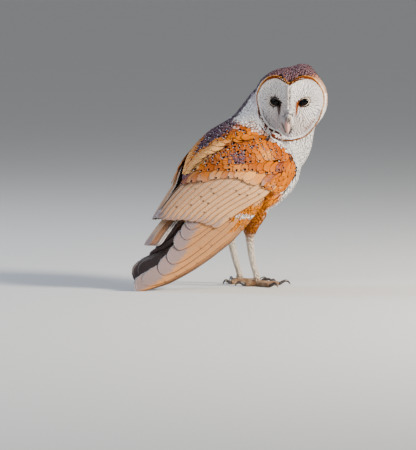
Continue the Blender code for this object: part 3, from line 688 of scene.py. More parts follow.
# ---------------------------------------------------------------- breast and belly
# Dense white feathers cover the breast, belly and the rump's underside, and turn golden along the flank below
# the wing, but for a small white wedge. They are narrow, and each covers the roots of the next row.
WING_HEM = np.array([(-92, 138), (-83, 107), (-70, 104), (-42, 114), (-34, 124), (-11, 131), (3, 133), (12, 131),
                     (22, 127), (28, 119), (31, 100)])
BREAST_COUNT = 126
chance = np.random.default_rng(41)
breast_rows = np.arange(44, -122, -2.6)
breast_places = lattice(breast_rows, [BREAST_COUNT] * len(breast_rows), chance, 0.5)
t, phi = breast_places[:, 0], breast_places[:, 1] * 360 - 180
overlap = np.where(t < -92, wing_edges(t)[1], smooth(t, WING_HEM))
kept = (np.abs(phi) > overlap - 2) | ((t > smooth(phi, COLLAR) + 4) & (np.abs(phi) > 12))
kept &= near_level(trunk_chart(t, phi), 12.0) & clear_of_face(trunk_chart(t, phi))
t, phi, places = t[kept], phi[kept], breast_places[kept]
spread_low = 14 * step(-40 - t, 0, 20)
flank = step(-12 - t, 0, 14) * (1 - step(np.abs(phi), 132 + spread_low, 146 + spread_low))
below_edge = np.abs(phi) - 105 - 1.05 * (t + 83)
white_wedge = step(below_edge, -1.0, 1.0) * step(22 * (1 - np.abs(t + 71.5) / 10) - below_edge, -1.0, 1.0)
seam = step(26 - t, 0, 7) * (1 - step(np.abs(phi), 92, 106)) * 0.35
golden = blend(0.5 * chance.random(len(t)), srgb(236, 138, 20), srgb(224, 116, 8))
paint = blend(np.maximum(flank * (1 - white_wedge), seam), WHITE, golden)
look = np.column_stack([chance.normal(0, 0.03, len(t)), 0.6 * (chance.random(len(t)) < 0.04), chance.random(len(t))])
breast_mesh = contour_vanes("breast_coat", trunk_chart(t, phi), tailward(trunk_chart, t, phi), length=13.0, width=3.6,
                            sink=1.4, rise=0.12, paint=paint, tip=paint, look=look,
                            charted=bake_place(places[:, 1], (44 - t) / 170), grid=(6, 3), patch=0.003, thick=0.2,
                            cup=0.06, seed=42, turn=0.1, roll=(0.0, 0.05))
add_piece("breast_coat", breast_mesh, plumage)

# ---------------------------------------------------------------- legs
# Long trousers of golden buff and white feathers over the thighs, then short sparse whitish ones down the
# tarsus to the bare scaly toes.
BODY_SHIFT = np.array([14.65, 6.04, 0.0])
THIGH_ROWS, THIGH_COUNT = 15, 24
SHIN_ROWS, SHIN_COUNT = 24, 14
LAST_ROW = 0.93
# Forward, left, height and radius of a leg's sleeves.
THIGH = np.array([(27, -26, 122, 12), (24, -26.6, 110, 17), (20.3, -26, 94, 16), (16.5, -24.2, 79, 11.8),
                  (15, -23, 70, 8.5), (15, -23, 66, 7.5)])
TARSUS = np.array([(15, -23, 68, 5.8), (15, -23, 60, 5.2), (17, -22.5, 45, 4.7), (21.5, -21.5, 27, 4.3),
                   (26, -21, 14, 4.2), (26, -21, 9, 4.2)])


def leg_chart(table, side):
    """Chart of a leg's sleeve: share of its height from the top, and angle from the bird's front outwards."""
    table = table[::-1]

    def chart(s, angle):
        """Points on circles round the leg's line, whose centres and radii run smoothly through the table."""
        z = table[-1, 2] + (table[0, 2] - table[-1, 2]) * s
        stations = table[:, [2, 0, 1, 3]]
        x, y, radius = (smooth(z, stations, k) for k in (1, 2, 3))
        turn = np.radians(angle)
        return np.stack([x + radius * np.cos(turn), -side * y + side * radius * np.sin(turn), z], -1) + BODY_SHIFT

    return chart


for hand, side in (("left", 1), ("right", -1)):
    chance = np.random.default_rng(51 + side)
    thigh_chart, tarsus_chart = leg_chart(THIGH, side), leg_chart(TARSUS, side)
    thigh_places = lattice(np.linspace(0.0, LAST_ROW, THIGH_ROWS), [THIGH_COUNT] * THIGH_ROWS, chance, 0.3)
    s, turn = thigh_places[:, 0], thigh_places[:, 1] * 360 - 180
    kept = near_level(thigh_chart(s, turn), 4.0)
    s, turn, places = s[kept], turn[kept], thigh_places[kept]
    inner = 1 - step(turn, -40, 20)
    paint = blend(np.clip(inner + 0.7 * step(s, 0.75, 1.0), 0, 1), srgb(150, 82, 22), srgb(226, 210, 190))
    look = np.column_stack([chance.normal(0, 0.04, len(s)), 0 * s, chance.random(len(s))])
    thigh_mesh = contour_vanes("thigh", thigh_chart(s, turn), chart_flow(thigh_chart, s, turn), length=13.0,
                               width=7.5, sink=2.0, rise=0.5, paint=paint, tip=paint, look=look,
                               charted=bake_place(places[:, 1], s), grid=(7, 5), patch=0.01, thick=0.35, cup=0.4,
                               seed=53 + side)
    add_piece(f"thigh_coat_{hand}", thigh_mesh, plumage)

    shin_places = lattice(np.linspace(0.0, LAST_ROW, SHIN_ROWS), [SHIN_COUNT] * SHIN_ROWS, chance, 0.3)
    s, turn = shin_places[:, 0], shin_places[:, 1] * 360 - 180
    paint = blend(0.5 * chance.random(len(s)), srgb(240, 230, 216), srgb(222, 196, 164))
    look = np.column_stack([0 * s, 0 * s, chance.random(len(s))])
    shin_mesh = contour_vanes("shin", tarsus_chart(s, turn), chart_flow(tarsus_chart, s, turn), length=6.5, width=2.6,
                              sink=0.7, rise=0.25, paint=paint, tip=paint, look=look,
                              charted=bake_place(shin_places[:, 1], s), grid=(5, 3), patch=0.008, thick=0.25, cup=0.2,
                              seed=63 + side)
    add_piece(f"tarsus_coat_{hand}", shin_mesh, plumage)

# ---------------------------------------------------------------- wing coverts
# Soft feathers in rows over each folded wing: many small orange lesser coverts, two rows of median ones and
# one of greater ones, each with its black and white spot. Towards the wrist they turn plain orange.
LEFT_TIP_RISE = 17.0
LEFT_SINK = 4.5


def plumage_point(t, phi, side=-1, depth=0.0):
    """Point of the folded bird's smooth envelope: a superellipse at phi degrees from mid-back, side +1 for the left,
    with both half axes less by depth."""
    centre, half_depth, half_width, squareness = (smooth(t, ENVELOPE, k) for k in range(1, 5))
    back, out = section(phi, squareness)
    return body_point(t, centre - (half_depth - depth) * back, side * (half_width - depth) * out)


def wing_point(t, phi, side, depth=0.0, primary=False):
    """Folded wing's chart to world: the left wing lies a little lower over the rump and its tip stands higher."""
    if side > 0:
        t = t + LEFT_TIP_RISE * step(-t, 130, 220)
    if primary:
        depth = depth - 3.0 * step(-t, 150, 210)
    sunk = LEFT_SINK * step(-60 - t, 0, 35) * step(t + 190, 0, 40) * (side > 0)
    return plumage_point(t, phi, side, depth) + sunk[..., None] * body_fore


def top_line(phi):
    """Station t of the covert patch's upper edge at an angle phi, running on as the wrist's edge."""
    edge_t, edge_phi = np.concatenate([WING_TOP[::-1], WING_FRONT[:3]]).T[:2]
    return np.interp(phi, edge_phi, edge_t)


def wing_place(t, phi):
    """Places on the OFBake map of feathers by their roots in the folded wing's chart."""
    return bake_place(phi / 150, (40 - t) / 140)


def wing_flow(t, phi, side):
    """Direction of the coverts: down the wing, drawing a little towards the back."""
    return unit(wing_point(t - 1.0, phi - COVERT_SLANT, side) - wing_point(t + 1.0, phi + COVERT_SLANT, side))


SCAPULAR_LINE = np.array([(-74, 12), (-56, 18), (-36, 27), (-26, 33), (-18, 37), (-12, 44), (-1, 51), (10, 58),
                          (20, 68)])
GREATER_SPOTS = np.array([(-93, 19.5), (-89, 29.5), (-80, 40), (-71, 50), (-61, 59), (-53, 69), (-51, 78), (-46, 90),
                          (-40, 99), (-35, 106), (-33, 117)])
MEDIAN_SPOTS = np.array([(-70, 22), (-68, 29.5), (-62, 38), (-58, 45), (-51, 54), (-45, 62), (-39, 67), (-31, 74),
                         (-28, 82), (-21, 90), (-16, 97), (-10, 102), (-3, 105), (7, 110), (17, 115)])
UPPER_SPOTS = np.array([(-57, 31), (-50, 41), (-43, 50), (-37, 56), (-31, 62), (-25, 67), (-17, 74), (-9, 82),
                        (-3, 87), (1, 92), (5, 98)])
# Tips, length, width, spot size and kind of each spotted row; LESSER is the same for the rows above them.
SPOTTED_ROWS = ((GREATER_SPOTS, 30, 12.5, 1.15, 0), (MEDIAN_SPOTS, 21, 11.0, 1.3, 1), (UPPER_SPOTS, 17, 10.0, 1.2, 2))
LESSER_ROWS, LESSER_STEP, LESSER_GAP = 24, 3.6, 4.6
LESSER = (12.5, 7.6, 0.95, 3)
COVERT_SLANT = 0.22

for hand, side in (("left", 1), ("right", -1)):
    chance = np.random.default_rng(71 + side)
    rows = []
    for spots, length, width, size, kind in SPOTTED_ROWS:
        between = 0.5 * (spots[1:] + spots[:-1])
        for marks, spot in ((spots, size), (between, 0.0)):
            tips = marks[:, 0] - 3.0 + (1.5 if spot == 0 else 0.0)
            alike = np.tile([length, width, spot, kind], (len(marks), 1))
            rows.append(np.column_stack([tips, marks[:, 1] - 0.6, alike]))
    for k in range(LESSER_ROWS):
        phi = np.arange(12, 134, LESSER_GAP) + 0.5 * LESSER_GAP * (k % 2)
        tip_t = smooth(phi, UPPER_SPOTS[:, ::-1]) + 1.5 + LESSER_STEP * k
        small = np.column_stack([tip_t, phi, np.tile(LESSER, (len(phi), 1))])
        rows.append(small[tip_t < top_line(phi) + 1])
    rows = np.concatenate(rows)
    tip_t, phi, length, width, spot, kind = rows.T
    phi = phi + chance.normal(0, 0.4, len(phi))
    tip_t = tip_t + chance.normal(0, 0.4, len(phi))
    root_t = tip_t + length
    root_phi = phi + COVERT_SLANT * length
    edge_t = top_line(root_phi)
    buried = np.clip(root_t - edge_t - 4, 0, length - 7)
    length, root_t, root_phi = length - buried, root_t - buried, root_phi - COVERT_SLANT * buried
    below_line = phi - smooth(tip_t, SCAPULAR_LINE)
    beneath = root_phi - smooth(root_t, SCAPULAR_LINE) > -3.0
    tip_t, phi, length, width, spot, kind, root_t, root_phi, below_line = (
        a[beneath] for a in (tip_t, phi, length, width, spot, kind, root_t, root_phi, below_line))
    front = step(phi, 106, 118) * step(tip_t, -40, -22)

    def patch_at(t, angle, tall, wide):
        """A soft spot on the wing: the bell curve of the feathers' distance from its place in the chart."""
        return np.exp(-((tip_t - t) / tall) ** 2 - ((phi - angle) / wide) ** 2)

    veil = (0.12 + 0.5 * patch_at(15, 101, 9, 9) + 0.5 * patch_at(-9, 97, 9, 8) + 0.4 * patch_at(-34, 52, 10, 9)
            + 0.30 * step(-62 - tip_t, 0, 12) * (1 - step(phi, 40, 62)) + 0.34 * (kind == 0) * step(phi, 80, 95)
            + (0.30 * (kind > 0) * step(-tip_t, 6, 20) * (1 - step(-tip_t, 44, 58)) * (1 - step(phi, 66, 84))
               * chance.random(len(phi))))
    veil = veil * (1 - front) + chance.normal(0, 0.03, len(phi))
    veil = np.maximum(veil, 0.8 * (1 - step(phi, 8, 16)) * (tip_t < -60))
    pale = np.clip(0.8 * patch_at(-9, 75, 8, 8) + 0.75 * patch_at(-52, 72, 10, 16) * (kind < 2)
                   + (kind == 0) * (1 - step(phi, 86, 100)) * chance.uniform(0.0, 0.7, len(phi)), 0, 1)
    # Painted shadow: the coverts' roots just below the scapulars' band are darkened.
    painted_shadow = 0.5 * (1 - step(below_line, 1.0, 5.0)) * step(phi, 24, 40)
    paint = blend(pale, blend(0.5 + 0.5 * np.sin(0.13 * tip_t + 0.09 * phi), GOLD, GOLD_DEEP), srgb(226, 156, 84))
    paint = blend(front, paint, srgb(194, 106, 20))
    paint = blend(painted_shadow, paint, srgb(104, 48, 14))
    pale_end = np.where(kind == 0, chance.uniform(0.2, 0.8, len(phi)), 0.1)
    tip = blend(pale_end * (1 - front), paint, srgb(206, 168, 140))
    dense = np.clip(1.15 - below_line / 26, 0.0, 0.85) + patch_at(13, 90, 10, 12)
    spotted = (kind < 3) | (chance.random(len(phi)) < dense)
    spot = spot * chance.normal(1, 0.12, len(phi)) * spotted
    look = np.column_stack([veil, spot * (1 - step(front, 0.2, 0.6)), chance.random(len(phi))])
    level = wing_point(root_t, root_phi, side)
    clear = clear_of_face(level, 1.5) & clear_of_face(wing_point(root_t - 5, root_phi, side), 1.0)
    level, length, width, paint, tip, look, root_t, root_phi = (
        a[clear] for a in (level, length, width, paint, tip, look, root_t, root_phi))
    covert_mesh = contour_vanes(f"coverts_{hand}", level, wing_flow(root_t, root_phi, side), length=length,
                                width=width, sink=1.3, rise=0.08, paint=paint, tip=tip, look=look,
                                charted=wing_place(root_t, root_phi), grid=(9, 7), patch=0.004, thick=0.2, cup=0.08,
                                seed=72 + side, turn=0.04, roll=(0.14 * side, 0.03))
    add_piece(f"wing_coverts_{hand}", covert_mesh, plumage, (f"wing_{hand}_coverts",))

# ---------------------------------------------------------------- marginal coverts and alula
# Along the wing's front edge the feathers are plain bright orange: a close rope of small marginal coverts
# round the wrist, and below it the thumb's few longer ones, which point down over the primaries' roots.
WRIST_EDGE = np.array([(-32, 110), (-15, 118), (0, 121.5), (12, 121), (22, 117), (33, 106)])
MARGINAL_ROWS = ((-8.0, 20, 7.0), (-4.5, 25, 7.0), (-1.0, 27, 7.0), (2.5, 27, 7.0), (6.0, 26, 6.5), (9.0, 24, 6.0))
MARGINAL_GAP = 7.0
for hand, side in (("left", 1), ("right", -1)):
    chance = np.random.default_rng(175 + side)
    strips = []
    for row, (shift, length, width) in enumerate(MARGINAL_ROWS):
        t = np.arange(34, -26, -MARGINAL_GAP) - 0.5 * MARGINAL_GAP * (row % 2)
        strips.append(np.column_stack([t, smooth(t, WRIST_EDGE) + shift, np.tile([length, width, row], (len(t), 1))]))
    t, phi, length, width, row = np.concatenate(strips).T
    roots = wing_point(t, phi, side)
    ahead = wing_point(t - 5, phi - 0.4 - 2.4 * step(10 - t, 0, 30), side) - roots
    paint = blend(chance.random(len(t)) * 0.5 + 0.25 * (row == 1), srgb(196, 108, 22), GOLD_DEEP)
    paint = blend(0.6 * (row == 3) * (t < 0) + 0.4 * (row == 1) * (t < -8), paint, srgb(232, 168, 96))
    look = np.column_stack([0.1 + 0.14 * (row == 0) + chance.normal(0, 0.05, len(t)), 0 * t, chance.random(len(t))])
    mesh = contour_vanes(f"marginal_{hand}", roots, ahead, length=length, width=width, sink=0.9, rise=0.25,
                         paint=paint, tip=paint, look=look, charted=wing_place(t, phi), grid=(9, 7), patch=0.004,
                         thick=0.22, cup=0.1, seed=176 + side, turn=0.05, roll=(0.1 * side, 0.03))
    add_piece(f"marginal_coverts_{hand}", mesh, plumage)

# ---------------------------------------------------------------- scapulars
# Long soft feathers run back in a smooth band from each shoulder over the upper edge of the folded wing,
# orange in front and pale buff behind, and cast a thin shadow on the coverts below them, whose roots there
# also carry a painted shadow.
for hand, side in (("left", 1), ("right", -1)):
    chance = np.random.default_rng(77 + side)
    strips = []
    for row in range(3):
        t = np.arange(30, -62, -4.0) - 2.0 * (row % 2)
        phi = smooth(t, SCAPULAR_LINE) - 5.0 - 6.0 * row
        strips.append(np.column_stack([t, phi, np.full(len(t), row)]))
    t, phi, row = np.concatenate(strips).T
    roots = wing_point(t, phi, side)
    ahead = wing_point(t - 4, smooth(t - 4, SCAPULAR_LINE) - 5.2 - 6.0 * row, side) - roots
    behind = step(8 - t, 0, 26)
    paint = blend(behind, srgb(206, 112, 16), srgb(238, 174, 108))
    paint = blend(0.8 * (row > 1.5) + 0.35 * (row == 1), paint, GOLD)
    look = np.column_stack([0.22 * (row > 1.5) + chance.normal(0, 0.03, len(t)),
                            1.0 * (row > 1.5) * (chance.random(len(t)) < 0.6), chance.random(len(t))])
    clear = clear_of_face(roots, 2.0) & clear_of_face(roots + unit(ahead) * 8, 1.0)
    roots, ahead, t, phi, row, paint, look = (a[clear] for a in (roots, ahead, t, phi, row, paint, look))
    mesh = contour_vanes(f"scapulars_{hand}", roots, ahead, length=23.0 - 4 * (row > 0), width=12.0,
                         sink=0.5 + 0.4 * row, rise=0.9 - 0.3 * row, paint=paint, tip=paint, look=look,
                         charted=wing_place(t, phi), grid=(9, 7), patch=0.004, thick=0.3, cup=0.12, seed=78 + side,
                         turn=0.03, roll=(0.1 * side, 0.03))
    add_piece(f"scapulars_{hand}", mesh, plumage)

# ---------------------------------------------------------------- flight feathers
# Thirteen secondaries and ten primaries fold over one another on each wing, every inner one lying over the
# next. Each is a long stiff vane with its shaft nearer the leading edge: grey speckled and lilac at the tip,
# orange buff along the outer vane, with a few dark bars, and painted shade darkens its inner side.
FIRST_BAR, BAR_GAP, FLIGHT_BARB_GAP = 21.0, 16.0, 0.7


def flight_material(name):
    """Flight feather: vane colour, leading edge stripe, bars, speckles, grey tip, barbs and pale shaft.

    place holds x from the shaft towards the leading edge, distance from the tip and share of the length; vane
    holds the distances in from the leading and the trailing edge and the shaft's half width; look holds the
    greyness, the bars' strength and chance.
    """
    s = Shader(name, 0.62, specular=0.25, sheen=0.08)
    x, from_tip, _ = s.parts("place")
    leading, trailing, shaft = s.parts("vane")
    grey, bars, chance = s.parts("look")
    side = s.math("ABSOLUTE", x)
    cloud = s.noise(260.0, 3.0, 0.6)
    fine = s.noise(1500.0, 2.0, 0.7)
    colour = s.colour("paint")
    outer = s.ramp(s.plus(leading, s.times(cloud, 2.0)), 2.2, 4.6, 1.0, 0.0)
    colour = s.mix(s.times(outer, 0.75), colour, s.colour("tip"))
    thin = s.times(s.ramp(leading, 0.35, 0.9, 0.9, 0.0), s.ramp(from_tip, 5.0, 16.0))
    colour = s.mix(thin, colour, s.colour("line"))
    ragged = s.plus(s.times(from_tip, 0.42), s.times(cloud, 6.0))
    tip_grey = s.ramp(s.math("SUBTRACT", ragged, leading), 0.5, 6.5, 1.0, 0.0)
    peppery = s.times(s.plus(grey, s.times(tip_grey, 0.6)), 0.22)
    speck = s.ramp(s.plus(fine, peppery), 0.60, 0.72)
    colour = s.mix(s.times(tip_grey, s.times(grey, 0.9)), colour, srgb(150, 132, 138))
    colour = s.mix(s.times(speck, 0.45), colour, srgb(112, 98, 96))
    phase = s.plus(s.times(s.math("SUBTRACT", from_tip, FIRST_BAR), 2 * math.pi / BAR_GAP),
                   s.times(s.math("SUBTRACT", chance, 0.5), 7.0))
    bar = s.times(s.ramp(s.math("SINE", phase), 0.78, 0.96), s.ramp(from_tip, 16.0, 22.0))
    fleck = s.times(s.ramp(leading, 0.3, 0.7), s.ramp(leading, 2.0, 3.2, 1.0, 0.25))
    patchy = s.ramp(s.noise(95.0, 2.0), 0.46, 0.58)
    bar = s.times(s.times(bar, s.times(bars, patchy)), fleck)
    colour = s.mix(bar, colour, srgb(52, 32, 28))
    pale_edge = s.ramp(s.plus(trailing, s.times(fine, 2.0)), 1.4, 2.8, 0.7, 0.0)
    colour = s.mix(pale_edge, colour, srgb(232, 226, 222))
    barbs = s.math("SINE", s.times(s.plus(from_tip, side), 2 * math.pi / FLIGHT_BARB_GAP))
    value = s.plus(s.times(barbs, 0.022), s.plus(0.90, s.times(cloud, 0.2)))
    bright = s.add("ShaderNodeCombineXYZ", None, X=value, Y=value, Z=value).outputs[0]
    colour = s.mix(1.0, colour, bright, "MULTIPLY")
    inner = s.parts("inner")[0]
    # Painted shade: the inner, lower side of every flight feather is turned a dusky grey.
    colour = s.mix(s.times(inner, 0.8), colour, srgb(66, 58, 64))
    ridge = s.ramp(s.math("DIVIDE", side, shaft), 0.7, 1.15, 1.0, 0.0)
    colour = s.mix(s.times(ridge, 0.8), colour, srgb(196, 156, 112))
    height = s.plus(s.times(barbs, 0.5), s.times(ridge, 2.5))
    return s.finish(colour, height, 0.00007)


flight = flight_material("flight_plumage")
SHAFT_AT, SHAFT = 0.4, 0.4


def flight_vanes(name, chart, lead, starts, ends, width, paint, edge, line, look, base, tilt, layer=0.0,
                 grid=(50, 11), thick=0.4, round_end=14.0, camber=0.45, lean=0.3, centre=(0.5, 0.5), seed=1):
    """Flight feathers of one fan, innermost first, each lying over the next one.

    chart(t, leading, across, width, depth) is the fan's surface: across runs from the trailing edge (-1) to the
    leading edge (1) of a feather whose leading edge is lead(its number, t), and width is in millimetres. Its
    depth is base, plus layer for each feather before it, plus its tilt and camber across. The breadth narrows
    at the root, and over the last round_end millimetres as a root of 1 less the share's power.
    """
    chance = np.random.default_rng(seed)
    n = len(starts)
    rings, columns = grid
    y = 1 - (1 - np.linspace(0, 1, rings)) ** 1.5
    x = np.sign(np.linspace(-1, 1, columns)) * np.abs(np.linspace(-1, 1, columns)) ** 0.85
    t = starts[:, None] + (ends - starts)[:, None] * y
    tip_share = np.clip(1 - (t - ends[:, None]) / round_end, 0, 1)
    narrow = np.sqrt(1 - 0.99 * tip_share ** 2.1) * (0.55 + 0.45 * step(y, 0, 0.25))[None, :]
    narrow = narrow[:, :, None]
    across = x * narrow + lean * (1 - narrow) * step(y, 0.3, 0.5)[None, :, None]
    fray = chance.uniform(-0.06, 0.03, (n, rings, 1)) * (x < -0.9) * step(y, 0.2, 0.4)[None, :, None]
    across = across + fray
    leading = np.stack([lead(k, t[k]) for k in range(n)])[:, :, None]
    depth = (base + layer * np.arange(n)[:, None, None] + 0.5 * tilt * (1 - across)
             + camber * (across - SHAFT_AT) ** 2
             - 0.25 * np.exp(-((x - SHAFT_AT) / 0.13) ** 2) * (1 - 0.75 * y)[None, :, None])
    middle = chart(t[:, :, None] + 0 * across, leading, across, width, depth)
    normals = unit(middle - chart(t[:, :, None] + 0 * across, leading, across, width, depth + 1.0))
    steps = np.linalg.norm(np.diff(middle, axis=2), axis=-1)
    from_trailing = np.concatenate([np.zeros((n, rings, 1)), np.cumsum(steps, 2)], 2)
    from_leading = from_trailing[:, :, -1:] - from_trailing
    middle_column = int(np.argmin(np.abs(x - SHAFT_AT)))
    run = np.linalg.norm(np.diff(middle[:, :, middle_column], axis=1), axis=-1)
    run = np.concatenate([np.zeros((n, 1)), np.cumsum(run, 1)], 1)
    from_tip = (run[:, -1:] - run)[:, :, None] * np.ones(columns)
    taper = np.sin(np.pi * np.clip(y, 0.04, 0.985)) ** 0.35
    thickness = thick * taper[None, :, None] * (1 - 0.7 * x ** 2) * np.ones((n, 1, 1))
    share = y[None, :, None] * np.ones((n, 1, columns))
    place = np.stack([from_trailing - from_trailing[:, :, middle_column:middle_column + 1], from_tip, share], -1)
    vane = np.stack([from_leading, from_trailing, np.maximum(SHAFT * (1 - 0.75 * share), 0.12)], -1)
    charted = np.column_stack([centre[0] + 0.0045 * (np.arange(n) - 0.5 * n), np.full(n, centre[1])])
    attributes = {"paint": paint, "tip": edge, "line": line, "look": look, "vane": vane}
    return closed_vanes(name, middle, normals, thickness, attributes, charted, 0.004, place)


def degree_length(t):
    """Millimetres along the folded wing for one degree of its chart: its arc on the mean half axis and a tenth."""
    return math.radians(0.55) * (smooth(t, ENVELOPE, 2) + smooth(t, ENVELOPE, 3))


STATIONS = np.array([-230, -200, -170, -140, -110, -80, -50])
PRIMARY_LEADS = np.array([
    [70, 75, 78, 79, 80, 80, 80], [76, 79, 82, 85.5, 89.5, 90, 90], [80, 83, 87, 91.5, 95, 97, 98],
    [88, 92, 100, 105, 106, 106, 106], [96, 102, 108, 113, 115, 113, 111], [98, 110, 117.5, 123, 126, 121, 116],
    [100, 112.5, 120, 126, 129.5, 123.5, 117.5], [101, 114, 121.5, 128, 132, 125.5, 118.5],
    [102, 115.5, 123, 130, 134, 127.5, 119.3], [103, 116.5, 124, 131.5, 135.5, 129, 120]])
PRIMARY_ENDS = np.array([-134, -147, -162, -180.5, -198, -221, -231, -233.5, -230.5, -223.5])
PRIMARY_STARTS = np.array([-92, -88, -84, -78, -70, -62, -56, -52, -49, -46])
PRIMARY_TOP = 48.0
SECONDARY_LEADS = np.array([12, 20, 29, 37, 44, 50, 56.5, 63, 69.5, 76, 82, 89, 98])
SECONDARY_ENDS = np.array([-133, -140.5, -144.5, -144.5, -142, -139, -134.5, -130.5, -127.5, -123, -120.5, -118.5,
                           -115])
SECONDARY_STARTS = np.array([-72, -68, -63, -58, -52, -47, -42, -38, -34, -31, -28, -26, -24])
SECONDARY_ROOT_PHI = np.array([20, 29, 38, 47, 56, 64, 72, 80, 88, 96, 104, 111, 117])

for hand, side in (("left", 1), ("right", -1)):
    chance = np.random.default_rng(81 + side)

    def wing_sheet(t, leading, across, width, depth, primary=False):
        """The fold: from its leading edge a feather reaches up by its width in degrees, or to the fan's top."""
        degrees = width / degree_length(t)
        top = PRIMARY_TOP if primary else smooth(t, SECONDARY_TOP[::-1])
        phi = leading - 0.5 * (1 - across) * np.minimum(degrees, leading - top)
        return wing_point(t, phi, side, depth, primary)

    def secondary_lead(k, t):
        """Leading edge of a secondary: from its root's angle to its own line, by a power of the share left."""
        y = (t - SECONDARY_STARTS[k]) / (SECONDARY_ENDS[k] - SECONDARY_STARTS[k])
        return SECONDARY_LEADS[k] + (SECONDARY_ROOT_PHI[k] - SECONDARY_LEADS[k]) * (1 - y) ** 1.7

    n = 13
    order = np.linspace(0, 1, n)
    paint = blend(order * 0.5, srgb(222, 174, 134), srgb(234, 178, 112))
    edge = blend(order, srgb(220, 150, 84), srgb(232, 152, 64))
    line = np.broadcast_to(srgb(150, 96, 52), (n, 3))
    look = np.column_stack([0.95 - 0.3 * order, 0.85 + 0 * order, chance.random(n)])
    mesh = flight_vanes(f"secondaries_{hand}", wing_sheet, secondary_lead, SECONDARY_STARTS, SECONDARY_ENDS,
                        width=22.0, paint=paint, edge=edge, line=line, look=look, base=2.1, tilt=2.2, round_end=8.0,
                        centre=(0.3 if side > 0 else 0.7, 0.3), seed=82 + side)
    add_piece(f"secondaries_{hand}", mesh, flight, (f"wing_{hand}_secondaries",))

    def primary_lead(k, t):
        """Leading edge of a primary at a station: along its row of the table."""
        return np.interp(t, STATIONS, PRIMARY_LEADS[k])

    def primary_sheet(t, leading, across, width, depth):
        """The primaries' fold, whose top is the wing's crossing over the rump."""
        return wing_sheet(t, leading, across, width, depth, True)

    n = 10
    order = np.linspace(0, 1, n)
    paint = blend(order, srgb(206, 142, 80), srgb(222, 146, 64))
    edge = blend(order, srgb(226, 140, 48), srgb(236, 152, 50))
    line = np.broadcast_to(srgb(146, 84, 38), (n, 3))
    look = np.column_stack([0.95 + 0 * order, 0.5 + 0 * order, chance.random(n)])
    mesh = flight_vanes(f"primaries_{hand}", primary_sheet, primary_lead, PRIMARY_STARTS, PRIMARY_ENDS, width=26.0,
                        paint=paint, edge=edge, line=line, look=look, base=3.9, tilt=3.0, layer=0.13, grid=(60, 11),
                        thick=0.34, round_end=23.0, lean=0.45, centre=(0.3 if side > 0 else 0.7, 0.15),
                        seed=86 + side)
    add_piece(f"primaries_{hand}", mesh, flight, (f"wing_{hand}_primaries",))

# ---------------------------------------------------------------- tail
# Twelve narrow feathers close over one another behind the wings' tips, the middle pair on top. The outer ones
# have a white edge, then a dark stripe that is painted shadow of the gap between them, and a rusty one, and the
# inner ones are buff and grey. A near-black line of painted shade runs along every feather's outer edge.
TAIL_START, TAIL_END = -90.0, -178.0
TAIL_LINE = np.array([(-177, -47), (-150, -46.5), (-120, -43.5), (-88, -38)])
chance = np.random.default_rng(91)
rank = np.array([0, 0, 1, 1, 2, 2, 3, 3, 4, 4, 5, 5])
hands = np.array([1, -1] * 6)


def tail_sheet(t, leading, across, width, depth):
    """Tail's surface: a shallow parabola across, its crest on the tail line; leading is the feather's outer
    edge in millimetres from the middle, with its side."""
    outward = np.abs(leading) - 0.5 * (1 - across) * width
    aside = np.sign(leading) * outward
    arch = 4.0 * (aside / 17.0) ** 2
    return body_point(t, smooth(t, TAIL_LINE) + arch + depth, aside + 0 * t)


def tail_lead(k, t):
    """Outer edge of one tail feather from the middle: a step further out for each rank, wider towards the end."""
    return hands[k] * (8.5 + 2.1 * rank[k]) * (0.9 + 0.1 * step(-t, 90, 170))


n = len(rank)
paint = np.broadcast_to(srgb(206, 160, 116), (n, 3))
# Rank three's dark brown edge and the near-black edge line are painted shade of the gaps between the stacked
# feathers.
edge = np.array([srgb(204, 124, 56)] * 6 + [srgb(96, 52, 34)] * 2 + [srgb(250, 248, 246)] * 4)
line = np.broadcast_to(srgb(34, 22, 22), (n, 3))
look = np.column_stack([0.8 + 0 * rank, 0.85 + 0 * rank, chance.random(n)])
tail_mesh = flight_vanes("tail_feathers", tail_sheet, tail_lead, np.full(n, TAIL_START), TAIL_END + 0.9 * rank,
                         width=15.0, paint=paint, edge=edge, line=line, look=look, base=-0.2, tilt=0.7, layer=0.26,
                         grid=(40, 9), thick=0.34, round_end=9.0, camber=0.15, centre=(0.5, 0.05), seed=92)
add_piece("tail_feathers", tail_mesh, flight, ("tail",))

# ---------------------------------------------------------------- face
# The facial disc is a shallow heart-shaped dish of narrow white feathers that stream away from the eyes and
# from the ridge above the bill. A rust brown streak runs down from the inner corner of each eye; on the bird's
# right it and the corner are painted darker brown, as shade.
FACE_RIDGE = np.array([(-34, 2), (-24, 8), (-12, 13), (8, 10), (30, 7)])
EYE_AT = (21.3, 18.2, 5.2)
DISH_FLOOR = 27.0
LID_LENGTH, LID_HEIGHT, LID_TILT = 6.4, 4.3, math.radians(27)
RUST = srgb(146, 68, 4)
EYE_SHIFT = (-0.7, -0.9)


def face_point(left, up, lift=0.0):
    """Face chart to world: a dish that deepens with the square of the share from its rim, and the ridge on it."""
    angle, radius = np.arctan2(left, up), np.hypot(left, up)
    share = np.clip(radius / around(angle, DISC_RADIUS), 0, 1.1)
    rim = around(angle, RIM_FORWARD)
    ridge = smooth(up, FACE_RIDGE) * np.exp(-(left / 7.5) ** 2) * (1 - np.clip(share, 0, 1) ** 6)
    return head_point(rim + (DISH_FLOOR - rim) * (1 - share ** 2) + ridge + lift, left, up)


def eye_chart(left, up):
    """Distance from the nearer eye's opening (1 on its edge), and the offset from that eye, outwards and up."""
    side = np.where(left >= 0, 1.0, -1.0)
    out, rise = side * (left - EYE_SHIFT[0]) - EYE_AT[1], up - EYE_AT[2] - EYE_SHIFT[1]
    long = out * math.cos(LID_TILT) + rise * math.sin(LID_TILT)
    tall = rise * math.cos(LID_TILT) - out * math.sin(LID_TILT)
    return np.hypot(long / LID_LENGTH, tall / LID_HEIGHT), side, out, rise


